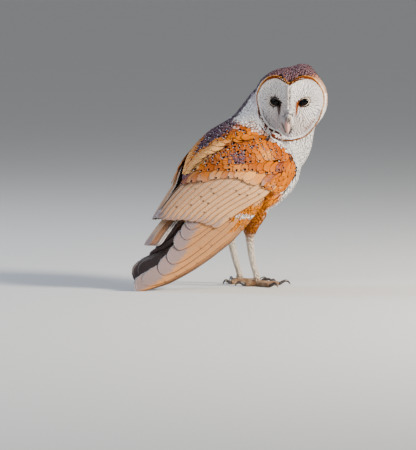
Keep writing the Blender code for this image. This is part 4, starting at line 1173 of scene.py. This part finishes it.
def face_flow(left, up):
    """Lie of the face feathers in the chart: out of the eyes, up and out along the ridge, and out at the rim."""
    _, side, out, rise = eye_chart(left, up)
    radial = unit(np.stack([side * out, rise], -1))
    middle = unit(np.stack([0.55 * side, np.where(up > -10, 1.0, -0.9)], -1))
    outward = unit(np.stack([left, up + 4.0], -1))
    ridge = np.exp(-(left / 6.0) ** 2)[..., None]
    share = (np.hypot(left, up) / around(np.arctan2(left, up), DISC_RADIUS))[..., None]
    flow = radial * (1 - ridge) + middle * ridge
    return unit(flow * (1 - 0.6 * step(share, 0.6, 1.0)) + outward * 0.6 * step(share, 0.6, 1.0))


def face_direction(left, up):
    """The same in the world, from a small step along the dish."""
    flow = face_flow(left, up)
    return unit(face_point(left + 0.1 * flow[..., 0], up + 0.1 * flow[..., 1]) - face_point(left, up))


RIM_BAND = np.array([(-175, 1.6), (-168, 3.0), (-160, 7.0), (-151, 7.2), (-143, 5.6), (-131, 4.4), (-117, 3.0),
                     (-104, 1.7), (-62, 1.7), (-50, 3.0), (-38, 4.4), (-31, 5.2), (-23, 5.8), (-17, 6.6), (-10, 7.0),
                     (-1, 6.4), (10, 6.4), (19, 7.0), (29, 5.8), (37, 4.8), (48, 3.2), (62, 1.7), (180, 1.6)])


def band_width(angle):
    """Width of the ruff's coloured band inside its outer line, straight between the table's angles from the top."""
    return np.interp((np.degrees(angle) + 180) % 360 - 180, RIM_BAND[:, 0], RIM_BAND[:, 1])


def face_place(left, up, size=110):
    """Places on the OFBake map of feathers by their roots in the head chart, size millimetres to the map."""
    return np.column_stack([0.5 + left / size, 0.5 + up / size])


FACE_GAP, FACE_STEP = 1.6, 1.7
chance = np.random.default_rng(101)
grid_left, grid_up = np.meshgrid(np.arange(-48, 48, FACE_GAP), np.arange(-44, 48, FACE_STEP))
grid_left = grid_left + 0.5 * FACE_GAP * (np.arange(len(grid_left))[:, None] % 2)
left = (grid_left + chance.normal(0, 0.35, grid_left.shape)).ravel()
up = (grid_up + chance.normal(0, 0.35, grid_up.shape)).ravel()
reach = rim_radius(np.arctan2(left, up))
share = np.hypot(left, up) / reach
near = eye_chart(left, up)[0]
on_bill = (np.abs(left + 1.6) < 3.2) & (up < -17) & (up > -34)
kept = (reach * (1 - share) > band_width(np.arctan2(left, up)) + 1.5) & (near > 1.06) & ~on_bill
left, up, reach, share, near = (a[kept] for a in (left, up, reach, share, near))
length = np.clip(4.4 + 3.4 * (near - 1.1), 4.6, 11.5) * (1 - 0.3 * np.exp(-(left / 6.0) ** 2))
length = np.minimum(length, np.maximum((1 - share) * reach - band_width(np.arctan2(left, up)) + 0.4, 1.6))
speckled = (np.abs(left + 2.8) < 5.0) & (up < -4) & (up > -21) & (chance.random(len(left)) < 0.62)


def face_colours(points, sound):
    """Colours of the face by place: white, with the eye streaks, the smudges and the bristles' flecks; painted shade
    darkens the bird's right lobe, its right eye's streak and corner, and the creases beside the bill.
    """
    _, left, up = head_offsets(points)
    near, _, out, rise = eye_chart(left, up)
    fall = np.clip((2.0 - up) / 16.0, 0, 1)
    streak_axis = np.where(left > 0, left - (9.8 - 2.2 * fall), -left - (13.0 + 1.2 * fall))
    streak = np.exp(-(streak_axis / (1.7 - 0.5 * fall)) ** 2) * (1 - 0.3 * fall)
    streak = streak * step(up, -19, -8) * (1 - step(up, 3, 7))
    corner = np.exp(-((out + 6.4) / 1.8) ** 2 - ((rise + 2.4) / 2.6) ** 2)
    upper = np.exp(-((near - 1.12) / 0.12) ** 2) * step(rise, -1, 2) * (1 - step(out, 1, 6))
    rust = np.clip(1.5 * streak + 1.2 * corner + 0.9 * upper, 0, 1)
    angle = np.arctan2(left, up)
    inward, around_rim = rim_radius(angle) - np.hypot(left, up), np.degrees(angle)
    smudge = np.exp(-((inward - 5.2) / 2.6) ** 2) * step(around_rim, 114, 124) * (1 - step(around_rim, 148, 158))
    # Painted shade: a dark band in the crease down each side of the bill.
    loral_shade = np.exp(-((np.abs(left + 2.9) - 5.6 + 0.3 * (-26 - up)) / 1.2) ** 2)
    loral_shade = loral_shade * step(-up, 20, 24) * (1 - step(-up, 33, 37))
    paint = blend(0.34 * np.exp(-((left + 1) / 4.0) ** 2) * step(up, -6, 6), WHITE, srgb(196, 150, 110))
    paint = blend(0.16 * np.exp(-((near - 1.6) / 0.7) ** 2), paint, srgb(190, 140, 100))
    paint = blend(0.26 * step(-up, 4, 16) * np.exp(-((left - 14) / 10) ** 2), paint, srgb(206, 166, 142))
    # Painted shade: the bird's right lobe of the disc is tinted lilac grey.
    paint = blend(0.36 * (left < -2) * step(-up, -6, 20), paint, srgb(160, 142, 160))
    # Rust streaks, eye corners and smudges; on the bird's right the streak and corner take a darker brown, painted
    # shade over the rust.
    paint = blend(np.maximum(rust, 0.6 * smudge), paint, np.where((left > 0)[..., None], RUST, srgb(58, 30, 22)))
    flecks = speckled[sound][:, None, None] * step(np.linspace(0, 1, paint.shape[1]), 0.45, 0.75)[None, :, None]
    # The bristles' dark flecks, their own colour, and the painted shade beside the bill.
    return blend(np.clip(0.9 * flecks + 0.9 * loral_shade, 0, 1), paint, srgb(62, 44, 22))


look = np.column_stack([chance.normal(0, 0.03, len(left)), 0 * left, chance.random(len(left))])
face_mesh = contour_vanes("face_coat", face_point(left, up), face_direction(left, up), length=length, width=2.5,
                          sink=0.55, rise=0.06, paint=face_colours, tip=face_colours, look=look,
                          charted=face_place(left, up), grid=(6, 3), patch=0.004, root=0.6, thick=0.15, cup=0.05,
                          blunt=1.8, seed=102, turn=0.05, roll=(0.0, 0.03))
add_piece("face_coat", face_mesh, plumage)

# ---------------------------------------------------------------- ruff
# A close set rim of short stiff feathers frames the face: golden brown above the eyes, darkest at the notch,
# thin buff lines at the sides and chin, and black and white flecks low on the bird's right.
RUFF_LIFT = np.array([(-180, 0), (-172, 1), (-165, 4), (-155, 9), (-145, 15), (-135, 15), (-125, 10), (-115, 7),
                      (-106, 2), (-98, 0), (180, 0)])
RUFF_COUNT = 190


def rim_point(angle, offset):
    """Point at an offset outwards from the ruff's outer line, square to it, and its place in the chart.

    Low on the bird's right the ruff stands up over the shoulder's feathers.
    """
    turned = (np.degrees(angle) + 180) % 360 - 180
    stand = np.interp(turned, RUFF_LIFT[:, 0], RUFF_LIFT[:, 1]) * step(offset, -11, -2)

    def curve(at):
        """The outer line in the chart."""
        return rim_radius(at)[..., None] * np.stack([np.sin(at), np.cos(at)], -1)

    tangent = unit(curve(angle + 0.02) - curve(angle - 0.02))
    outward = np.stack([-tangent[..., 1], tangent[..., 0]], -1)
    outward = np.where(np.sum(outward * curve(angle), -1, keepdims=True) < 0, -outward, outward)
    flat = curve(angle) + outward * offset[..., None]
    return face_point(flat[..., 0], flat[..., 1], stand - 0.9 * np.clip(offset, 0, 9)), flat


# Each row of the ruff: the root's share of the coloured band and its millimetres further in, the same for the tip,
# and its kind: 0 the fringe on the face, 1 and 2 the band's halves, 3 the outer line, 4 and 5 behind the line.
chance = np.random.default_rng(111)
RUFF_ROWS = ((1.0, 3.4, 1.0, -0.2, 0), (1.0, 1.0, 0.62, 0.4, 1), (0.72, 0.8, 0.34, 0.3, 2), (0.42, 0.9, 0.08, 0.5, 2),
             (0, 2.3, 0, -0.8, 3), (0, 1.2, 0, -2.6, 4), (0, -0.8, 0, -5.2, 5), (0, -2.8, 0, -7.8, 5))
pieces = []
for row, (root_share, root_in, tip_share, tip_in, kind) in enumerate(RUFF_ROWS):
    ring = (np.arange(RUFF_COUNT) + 0.5 * (row % 2)) / RUFF_COUNT * 2 * math.pi - math.pi
    if kind < 4:
        ring = np.concatenate([ring, np.radians(np.linspace(-6.5, 6.5, 26)) + 0.01])
    ring = ring + chance.normal(0, 0.004, len(ring))
    band = band_width(ring)
    offset = -root_share * band - root_in
    reach = (root_share - tip_share) * band + root_in - tip_in
    row_values = np.column_stack([ring, offset, reach, np.full(len(ring), kind)])
    pieces.append(row_values[(band > 2.0) | (kind == 0) | (kind > 2)])
angle, offset, length, kind = np.concatenate(pieces).T
turned = (np.degrees(angle) + 180) % 360 - 180
degrees = np.abs(turned)
beyond = (kind >= 4) & (degrees < np.where(kind == 4, 40, 72))
angle, offset, length, kind, turned, degrees = (
    a[~beyond] for a in (angle, offset, length, kind, turned, degrees))
roots, flat = rim_point(angle, offset)
ahead = rim_point(angle, offset + 1.0)[0]
n = len(angle)
standing = (kind < 4) & (degrees > 100)
free = np.where(standing[:, None], face_out, 0.0)
top = 1 - step(degrees, 48, 74)
notch = 1 - step(degrees, 8, 44)
right_low = step(-turned, 96, 106) * (1 - step(-turned, 160, 170))
chin = step(degrees, 150, 168)
brown = blend(notch, srgb(130, 58, 2), srgb(84, 34, 0))
tan = blend(step(degrees, 100, 140), srgb(190, 124, 58), srgb(138, 72, 8))
paint = blend(0.35 * top * (kind == 0), WHITE, srgb(214, 180, 140))
paint = np.where((kind == 1)[:, None], blend(1 - step(degrees, 34, 50), WHITE, brown), paint)
paint = np.where((kind == 2)[:, None], blend(top, blend(0.15, WHITE, tan), brown), paint)
line = blend(top, blend(0.2 * step(turned, 60, 100) * (1 - chin), tan, CREAM), srgb(222, 156, 72))
line = blend(0.75 * step(-turned, 60, 90) * (1 - step(-turned, 100, 120)), line, srgb(120, 76, 60))
paint = np.where((kind == 3)[:, None], line, paint)
paint = np.where((kind == 4)[:, None], blend(0.55 * top, WHITE, srgb(222, 170, 104)), paint)
dark = chance.random(n) < np.select([kind == 3, kind == 2, kind == 1], [0.7, 0.28, 0.75], 0.0)
paint = np.where(((kind == 3) & (right_low > 0.5))[:, None], srgb(112, 52, 16), paint)
dashes = blend((kind == 2) + 0.35 * chance.random(n), srgb(34, 18, 14), srgb(124, 44, 26))
paint = np.where((dark & (right_low > 0.5))[:, None], dashes, paint)
base = blend(0.5 + 0.5 * ((kind > 0) & (kind < 4)), WHITE, paint)
look = np.column_stack([0 * angle, 0 * angle, chance.random(n)])
ruff_mesh = contour_vanes("ruff", roots, ahead - roots, length=length, width=2.2, sink=0.4,
                          rise=np.where(kind < 4, 0.55, 0.15), paint=base, tip=paint, look=look,
                          charted=face_place(flat[:, 0], flat[:, 1], 112), grid=(6, 5), patch=0.004, root=0.6,
                          thick=0.26, cup=0.12, seed=112, turn=0.04, roll=(0.0, 0.05), free=free)
add_piece("ruff", ruff_mesh, plumage)

# ---------------------------------------------------------------- eyes and lids
# Large black eyes, hardly moving in their sockets, each in a slanting almond of lid: a thin rolled edge, pale
# outside and rust brown towards the inner corner. On the bird's right eye painted shade turns the corner
# darker brown and darkens the upper lid.
eye_black = Shader("eye_black", 0.06, specular=0.12, coat=0.03)
eye_material = eye_black.finish(eye_black.mix(eye_black.noise(200.0), srgb(4, 3, 3), srgb(8, 6, 6)))
lid_skin = Shader("lid_skin", 0.6, specular=0.3, sheen=0.1)
lid_material = lid_skin.finish(lid_skin.colour("paint"), lid_skin.noise(2600.0, 2.0), 0.0001)


def grid_mesh(name, points, wrap_rows=False):
    """Closed mesh from rings of points (rows, columns, 3): columns wrap round; rows wrap too, or end in caps."""
    rows, columns = points.shape[:2]
    index = np.arange(rows * columns).reshape(rows, columns)
    nxt = np.roll(index, -1, 1)
    last = rows if wrap_rows else rows - 1
    after, after_next = np.roll(index, -1, 0), np.roll(nxt, -1, 0)
    quads = np.stack([index[:last], nxt[:last], after_next[:last], after[:last]], -1).reshape(-1, 4)
    corners = points.reshape(-1, 3)
    tris = np.empty((0, 3), int)
    if not wrap_rows:
        corners = np.concatenate([corners, points[0].mean(0)[None], points[-1].mean(0)[None]])
        foot, head = rows * columns, rows * columns + 1
        tris = np.concatenate([np.stack([nxt[0], index[0], np.full(columns, foot)], -1),
                               np.stack([index[-1], nxt[-1], np.full(columns, head)], -1)])
    mesh = bpy.data.meshes.new(name)
    mesh.from_pydata(corners * MM, [], quads.tolist() + tris.tolist())
    work = bmesh.new()
    work.from_mesh(mesh)
    bmesh.ops.recalc_face_normals(work, faces=work.faces[:])
    work.to_mesh(mesh)
    work.free()
    mesh.shade_smooth()
    return mesh


BALL_RADIUS, BALL_SIDES, BALL_RINGS, BALL_CAP = 7.5, 48, 31, 0.06
LID_SIDES = 72
# Growth of the opening, distance from the eye's centre and lift, round the lid's section.
LID_PROFILE = ((1.0, 7.65, 0.0), (1.015, 7.65, 0.3), (1.045, 7.7, 0.45), (1.09, 7.7, 0.35),
               (1.16, 7.5, -0.1), (1.3, 6.9, -0.9), (1.2, 6.6, -0.9), (1.02, 6.9, -0.5))
for hand, side in (("left", 1), ("right", -1)):
    centre = head_point(EYE_AT[0], side * EYE_AT[1] + EYE_SHIFT[0], EYE_AT[2] + EYE_SHIFT[1])
    aside = side * face_left
    turn, lap = np.meshgrid(np.linspace(0, 2 * math.pi, BALL_SIDES, endpoint=False),
                            np.linspace(BALL_CAP, math.pi - BALL_CAP, BALL_RINGS))
    ball = centre + BALL_RADIUS * (np.cos(lap)[..., None] * face_out
                                   + (np.sin(lap) * np.cos(turn))[..., None] * aside
                                   + (np.sin(lap) * np.sin(turn))[..., None] * face_up)
    add_piece(f"eyeball_{hand}", grid_mesh(f"eyeball_{hand}", ball), eye_material, (f"eye_{hand}",))

    turn = np.linspace(0, 2 * math.pi, LID_SIDES, endpoint=False)
    long, tall = LID_LENGTH * np.cos(turn), LID_HEIGHT * np.sin(turn)
    across = long * math.cos(LID_TILT) - tall * math.sin(LID_TILT)
    rising = long * math.sin(LID_TILT) + tall * math.cos(LID_TILT)
    upper = step(np.sin(turn), -0.2, 0.8)
    rings = []
    for grow, radius, lift in LID_PROFILE:
        x, y = across * grow, rising * grow
        z = np.sqrt(np.clip(radius ** 2 - x ** 2 - y ** 2, 4.0, None)) + lift * (1 + 0.8 * upper)
        rings.append(centre + x[:, None] * aside + y[:, None] * face_up + z[:, None] * face_out)
    lid_mesh = grid_mesh(f"lid_{hand}", np.stack(rings), wrap_rows=True)
    inner_corner = 0.5 - 0.5 * np.cos(turn)
    rusty = step(inner_corner, 0.45, 0.95)
    # The inner corner is rust; on the bird's right eye it is a darker brown, painted shade over the rust, and painted
    # shade darkens the upper lid.
    rim_colours = blend(rusty, srgb(232, 206, 178), RUST if side > 0 else srgb(60, 36, 30))
    rim_colours = blend(0.8 * upper * (side < 0), rim_colours, srgb(52, 36, 34))
    dark = srgb(44, 30, 28) + 0 * rim_colours
    lid_colours = np.concatenate([dark, blend(0.5, dark, rim_colours)] + [rim_colours] * 4 + [dark] * 2)
    add_attribute(lid_mesh, "paint", np.column_stack([lid_colours, np.ones(len(lid_colours))]))
    add_piece(f"lid_{hand}", lid_mesh, lid_material)

# ---------------------------------------------------------------- bill
# A slim hooked bill of pale pinkish horn, ridged along its top, with painted shade darkening its lower sides
# along the gape, half hidden by fine bristles that sweep down over its base from the ridge between the eyes.
BILL_SHIFT = -1.6
# Forward, up, half width and half height of each horn at its stations.
UPPER_BILL = np.array([(33, -11, 3.2, 4.5), (38.5, -17, 3.2, 4.2), (42, -23, 2.9, 3.6), (42.6, -27.5, 2.3, 2.6),
                       (40.6, -33.4, 0.8, 0.8)])
LOWER_BILL = np.array([(31.5, -20, 3.0, 2.6), (36.0, -25.2, 2.7, 2.5), (38.3, -29, 2.1, 1.9),
                       (38.9, -31.6, 0.9, 0.8)])
BILL_SIDES, BILL_RINGS = 32, 30


def through(points, count):
    """A smooth curve through points, sampled evenly along its chords."""
    points = np.asarray(points, float)
    along = np.concatenate([[0], np.cumsum(np.linalg.norm(np.diff(points, axis=0), axis=1))])
    table = np.column_stack([along, points])
    return np.column_stack([smooth(np.linspace(0, along[-1], count), table, k + 1) for k in range(points.shape[1])])


def horn_rings(path, widths, heights, across, sides=32, ridge=0.0):
    """Rings of a tapering horn: ellipses square to a path, drawn in by ridge towards their outer side."""
    tangent = unit(np.gradient(path, axis=0))
    lift = np.cross(tangent, across)
    angle = np.linspace(0, 2 * math.pi, sides, endpoint=False)
    narrow = 1 - ridge * np.clip(np.sin(angle), 0, 1) ** 2
    return (path[:, None] + (np.cos(angle) * narrow)[None, :, None] * widths[:, None, None] * across
            + np.sin(angle)[None, :, None] * heights[:, None, None] * lift[:, None])


horn = Shader("bill_horn", 0.32, specular=0.4, coat=0.15)
toward_tip, gape_shade, _ = horn.parts("place")
horn_colour = horn.mix(horn.ramp(toward_tip, 0.2, 1.0), srgb(196, 140, 130), srgb(216, 172, 154))
# Painted shade: each horn's lower sides darken along the gape.
horn_colour = horn.mix(horn.ramp(gape_shade, 0.3, 0.75, 0.0, 0.9), horn_colour, srgb(84, 44, 34))
horn_colour = horn.mix(horn.ramp(horn.noise(900.0, 2.0), 0.3, 0.8, 0.0, 0.15), horn_colour, srgb(180, 140, 124))
bill_material = horn.finish(horn_colour, horn.noise(1800.0, 3.0), 0.00008)

for node, stations, ridge in (("bill_upper", UPPER_BILL, 0.35), ("bill_lower", LOWER_BILL, 0.0)):
    line = through(stations, BILL_RINGS)
    path = head_point(line[:, 0], BILL_SHIFT + 0 * line[:, 0], line[:, 1])
    rings = horn_rings(path, line[:, 2], line[:, 3], face_left, ridge=ridge)
    mesh = grid_mesh(node + "_horn", rings)
    turn = np.linspace(0, 2 * math.pi, BILL_SIDES, endpoint=False)
    along = np.repeat(np.linspace(0, 1, BILL_RINGS), BILL_SIDES)
    # Painted shade along the gape, fading towards the tip.
    gape_shade_line = np.tile(np.clip(-np.sin(turn) + 0.35, 0, 1) * np.abs(np.cos(turn)) ** 0.5, BILL_RINGS)
    place = np.column_stack([along, gape_shade_line * (1 - along ** 3), 0 * along])
    add_attribute(mesh, "place", np.concatenate([place, [[0, 0, 0], [1, 0, 0]]]))
    add_piece(f"{node}_horn", mesh, bill_material, (node,))

BRISTLES = 820
BRISTLES_AT = -17.2
chance = np.random.default_rng(121)
angle = chance.uniform(-1, 1, BRISTLES) * 1.9
out_mm = chance.uniform(1.2, 7.0, BRISTLES)
left = BILL_SHIFT + np.sin(angle) * out_mm
up = BRISTLES_AT + np.cos(angle) * out_mm * 1.3
flows = face_point(BILL_SHIFT + (left - BILL_SHIFT) * 0.8, up - 5.0, 4.0) - face_point(left, up)
paint = blend(chance.random(BRISTLES) * 0.5, WHITE, srgb(200, 170, 140))
paint = blend(0.95 * (chance.random(BRISTLES) < 0.36) * (np.abs(left - BILL_SHIFT) < 5), paint, srgb(56, 36, 10))
look = np.column_stack([0 * angle, 0 * angle, chance.random(BRISTLES)])


def bristle_vanes(name, roots, flows, normals, length, width, lift, paint, look, charted):
    """Stiff narrow vanes: each runs straight along its flow, and stands off by lift times a sine of the share."""
    n, rings = len(roots), 7
    flows, normals = unit(flows), unit(normals)
    aside = unit(np.cross(flows, normals))
    y = np.linspace(0, 1, rings)
    x = np.linspace(-1, 1, 3)
    slim = (1 - y ** 2.2) * 0.85 + 0.15
    middle = (roots[:, None, None] + flows[:, None, None] * (y[None, :, None] * length[:, None, None])[..., None]
              + normals[:, None, None] * (lift[:, None, None] * np.sin(np.pi * 0.8 * y)[None, :, None])[..., None]
              + aside[:, None, None] * (x * slim[:, None] * 0.5 * width)[None, ..., None])
    up_grid = np.broadcast_to(normals[:, None, None], middle.shape)
    thickness = 0.22 * (1 - 0.6 * x ** 2)[None, None] * np.ones((n, rings, 1))
    place = np.stack([(x * slim[:, None] * 0.5 * width)[None] * np.ones((n, 1, 1)),
                      (1 - y)[None, :, None] * length[:, None, None] * np.ones(3),
                      y[None, :, None] * np.ones((n, 1, 3))], -1)
    return closed_vanes(name, middle, up_grid, thickness, {"paint": paint, "tip": paint, "look": look}, charted,
                        0.003, place)


bristles = bristle_vanes("bristles", face_point(left, up, 0.6), flows, np.broadcast_to(face_out, (BRISTLES, 3)),
                         length=chance.uniform(6.0, 9.5, BRISTLES), width=0.8,
                         lift=chance.uniform(1.2, 2.6, BRISTLES), paint=paint, look=look,
                         charted=face_place(left, up))
add_piece("bill_bristles", bristles, plumage)

# ---------------------------------------------------------------- claws
# Four long curved claws of dark horn on each foot, each tapering to a point near the floor. The bare toes
# they grow from are part of the skin.
FOOT_CENTRE = np.array([26.0, -21.0])
# Each toe's heading in degrees, the claw's root and how far it reaches from there.
TOES = {"inner": (-24, 26, 17), "middle": (8, 30, 16), "outer": (78, 25, 14), "hind": (-168, 15, 13)}
CLAW_CURL = math.radians(75)
CLAW_ROOT = 0.3
claw_paint = Shader("claw_horn", 0.3, specular=0.45, coat=0.2)
claw_shade = claw_paint.mix(claw_paint.ramp(claw_paint.noise(700.0, 2.0), 0.3, 0.7),
                            srgb(34, 28, 28), srgb(66, 54, 50))
claw_material = claw_paint.finish(claw_shade, claw_paint.noise(1500.0), 0.00005)
for hand, side in (("left", 1), ("right", -1)):
    for toe, (heading, length, reach) in TOES.items():
        s = np.concatenate([[-0.02], np.linspace(0, 1, 25)])  # the first ring sits inside the toe
        turn = math.radians(heading)
        bow = np.clip(s, 0, 1)
        run = (length + CLAW_ROOT + np.where(s < 0, 0.0, 1.0)
               + (reach - 1.0) * np.sin(bow * CLAW_CURL) / math.sin(CLAW_CURL))
        z = 2.7 + 4.0 * np.sin(bow * math.pi) ** 1.5 * (1 - 0.3 * bow) - 1.7 * bow ** 2
        radii = 1.9 * (1 - bow) ** 0.7 + 0.3
        path = np.column_stack([FOOT_CENTRE[0] + run * math.cos(turn),
                                -side * (FOOT_CENTRE[1] - run * math.sin(turn)), z]) + BODY_SHIFT
        flat = np.array([math.sin(turn), -side * math.cos(turn), 0.0])
        claw = grid_mesh(f"claw_{toe}_{hand}", horn_rings(path, radii * 0.85, radii, flat, sides=16))
        add_piece(f"horn_{toe}_{hand}", claw, claw_material, (f"claw_{toe}_{hand}",))

# ---------------------------------------------------------------- skin
# The bird's skin runs without a seam from the crown to the toes, thin and hidden a coat's depth below the
# feathers' outline, and is bare, grey brown and scaly only on the toes. Under the feathers it carries the coat's
# own colours, and a few more feathers lie in the partings, so that none shows a bare patch.
def coordinates(mesh):
    """Vertices of a mesh in millimetres and their unit normals, as two arrays."""
    places = np.empty(3 * len(mesh.vertices))
    normals = np.empty(3 * len(mesh.vertices))
    mesh.vertices.foreach_get("co", places)
    mesh.vertex_normals.foreach_get("vector", normals)
    return places.reshape(-1, 3) / MM, normals.reshape(-1, 3)


SKIN_SMOOTHING = 5
skin_mesh = joined_surface("skin", FLESH, VOXEL, SKIN_SMOOTHING)
skin_points, skin_normals = coordinates(skin_mesh)
coat_depth = 0.7 + 2.1 * step(skin_points[:, 2], 62, 80)
coat_depth *= step(skin_points[:, 2], 9, 20)
skin_points = skin_points - skin_normals * coat_depth[:, None]
skin_points[:, 2] = np.maximum(skin_points[:, 2], 0.0)
skin_mesh.vertices.foreach_set("co", (skin_points * MM).ravel())
skin_mesh.update()
skin = bpy.data.objects.new("skin", skin_mesh)
scene.collection.objects.link(skin)

skin_paint = Shader("skin_down", 0.9, specular=0.1, sheen=0.1)
mottle = skin_paint.ramp(skin_paint.noise(160.0, 3.0), 0.35, 0.65)
skin_place = skin_paint.add("ShaderNodeTexCoord").outputs["Object"]
scutes = skin_paint.add("ShaderNodeTexVoronoi", {"feature": "DISTANCE_TO_EDGE"}, Vector=skin_place,
                        Scale=620.0).outputs["Distance"]
skin_shade = skin_paint.mix(mottle, skin_paint.colour("paint"), srgb(200, 180, 160), "MULTIPLY")
skin_material = skin_paint.finish(skin_shade, skin_paint.ramp(scutes, 0.02, 0.2), 0.0003)


def nearest_feather(points):
    """The laid feather whose middle is nearest to each point, by least squared distance, and that distance."""
    middles = feathers[:, :3] - HEAD_CENTRE.astype(np.float32)
    lengths = 0.5 * np.sum(middles ** 2, 1)
    centred = (points - HEAD_CENTRE).astype(np.float32)
    nearest = np.concatenate([np.argmin(lengths - centred[k:k + CHUNK] @ middles.T, 1)
                              for k in range(0, len(points), CHUNK)])
    return nearest, np.linalg.norm(centred - middles[nearest], axis=1)


SEARCHED, CHUNK = 3, 2000  # one feather in three is enough to find a near one, for 2000 points at a time
PARTING, SEAT_GAP = 5.5, 2.4
feathers = np.concatenate(laid).astype(np.float32)[::SEARCHED]
chance = np.random.default_rng(131)
nearest, gap = nearest_feather(skin_points)
forward, left, up = head_offsets(skin_points)
bald = (gap > PARTING) & (skin_points[:, 2] > 165) & ((forward < 12) | (np.hypot(left, up) > 47))
seats = skin_points[bald][chance.permutation(int(bald.sum()))]
seats = seats[np.unique(np.round(seats / SEAT_GAP).astype(int), axis=0, return_index=True)[1]]
seats = seats[clear_of_face(seats, 2.0) & near_level(seats, 6.0)]
if len(seats):
    beside, _ = nearest_feather(seats)
    shade, veil = feathers[beside, 3:6], feathers[beside, 6]
    _, left, up = head_offsets(seats)
    look = np.column_stack([veil, 0 * veil, chance.random(len(seats))])
    down_flow = -body_up - 0.5 * step(up, -20, 20)[:, None] * face_out
    parting_mesh = contour_vanes("parting_coat", seats, down_flow, length=9.0, width=4.2, sink=0.8, rise=0.12,
                                 paint=shade, tip=shade, look=look, charted=face_place(left, up, 140), grid=(6, 3),
                                 patch=0.003, thick=0.2, cup=0.08, seed=132, roll=(0.0, 0.05))
    add_piece("parting_coat", parting_mesh, plumage)

leg_share = 1 - step(skin_points[:, 2], 9, 13)
veiled = step(feathers[nearest, 6], 0.2, 0.7)
skin_paint_colours = blend(0.8 * veiled, feathers[nearest, 3:6].astype(float), srgb(92, 74, 86))
skin_paint_colours = blend(leg_share, skin_paint_colours, srgb(150, 122, 96))
add_attribute(skin_mesh, "paint", np.column_stack([skin_paint_colours, np.ones(len(skin_points))]))
skin_mesh.materials.append(skin_material)
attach(skin, "root")
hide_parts(*FLESH)

# ---------------------------------------------------------------- floor, light and camera
# A pale floor, a large soft key from the bird's right front, a cool fill from its left, and a long lens.
floor_mesh = bpy.data.meshes.new("floor")
floor_mesh.from_pydata([(-40, -40, 0), (40, -40, 0), (40, 40, 0), (-40, 40, 0)], [], [(0, 1, 2, 3)])
floor = bpy.data.objects.new("floor", floor_mesh)
scene.collection.objects.link(floor)
floor_paint = Shader("floor_paint", 0.9, specular=0.1)
floor_mesh.materials.append(floor_paint.finish(tuple(srgb(214, 212, 208))))


def soft_light(name, place, aim, size, power, colour):
    """Square area light at place, turned to its aim."""
    lamp = bpy.data.lights.new(name, "AREA")
    lamp.size = size
    lamp.energy = power
    lamp.color = colour
    holder = bpy.data.objects.new(name, lamp)
    holder.location = place
    holder.rotation_euler = (Vector(aim) - Vector(place)).to_track_quat("-Z", "Y").to_euler()
    scene.collection.objects.link(holder)


MIDDLE = (0.0, 0.0, 0.15)
soft_light("key", (1.05, -1.35, 0.95), MIDDLE, 0.5, 88, (1.0, 0.93, 0.82))
soft_light("fill", (-1.6, -0.7, 1.2), MIDDLE, 1.4, 14, (0.76, 0.85, 1.0))
soft_light("rim", (-1.0, 1.5, 1.3), MIDDLE, 0.8, 26, (0.60, 0.74, 1.0))
world = bpy.data.worlds.new("studio")
world.use_nodes = True
world.node_tree.nodes["Background"].inputs[0].default_value = (0.80, 0.84, 0.90, 1)
world.node_tree.nodes["Background"].inputs[1].default_value = 0.38
scene.world = world

camera_data = bpy.data.cameras.new("camera")
camera_data.lens = 320
camera_data.sensor_width = 36
camera_data.clip_end = 50
camera = bpy.data.objects.new("camera", camera_data)
CAMERA_AIM = Vector((-0.0092, 0.0198, 0.0764))
azimuth, elevation, distance = math.radians(-30), math.radians(4), 5.0
level_out = math.cos(elevation)
toward = Vector((math.sin(azimuth) * level_out, -math.cos(azimuth) * level_out, math.sin(elevation)))
camera.location = CAMERA_AIM + distance * toward
camera.rotation_euler = (-toward).to_track_quat("-Z", "Y").to_euler()
scene.collection.objects.link(camera)
scene.camera = camera

bpy.data.objects.remove(coat_level)
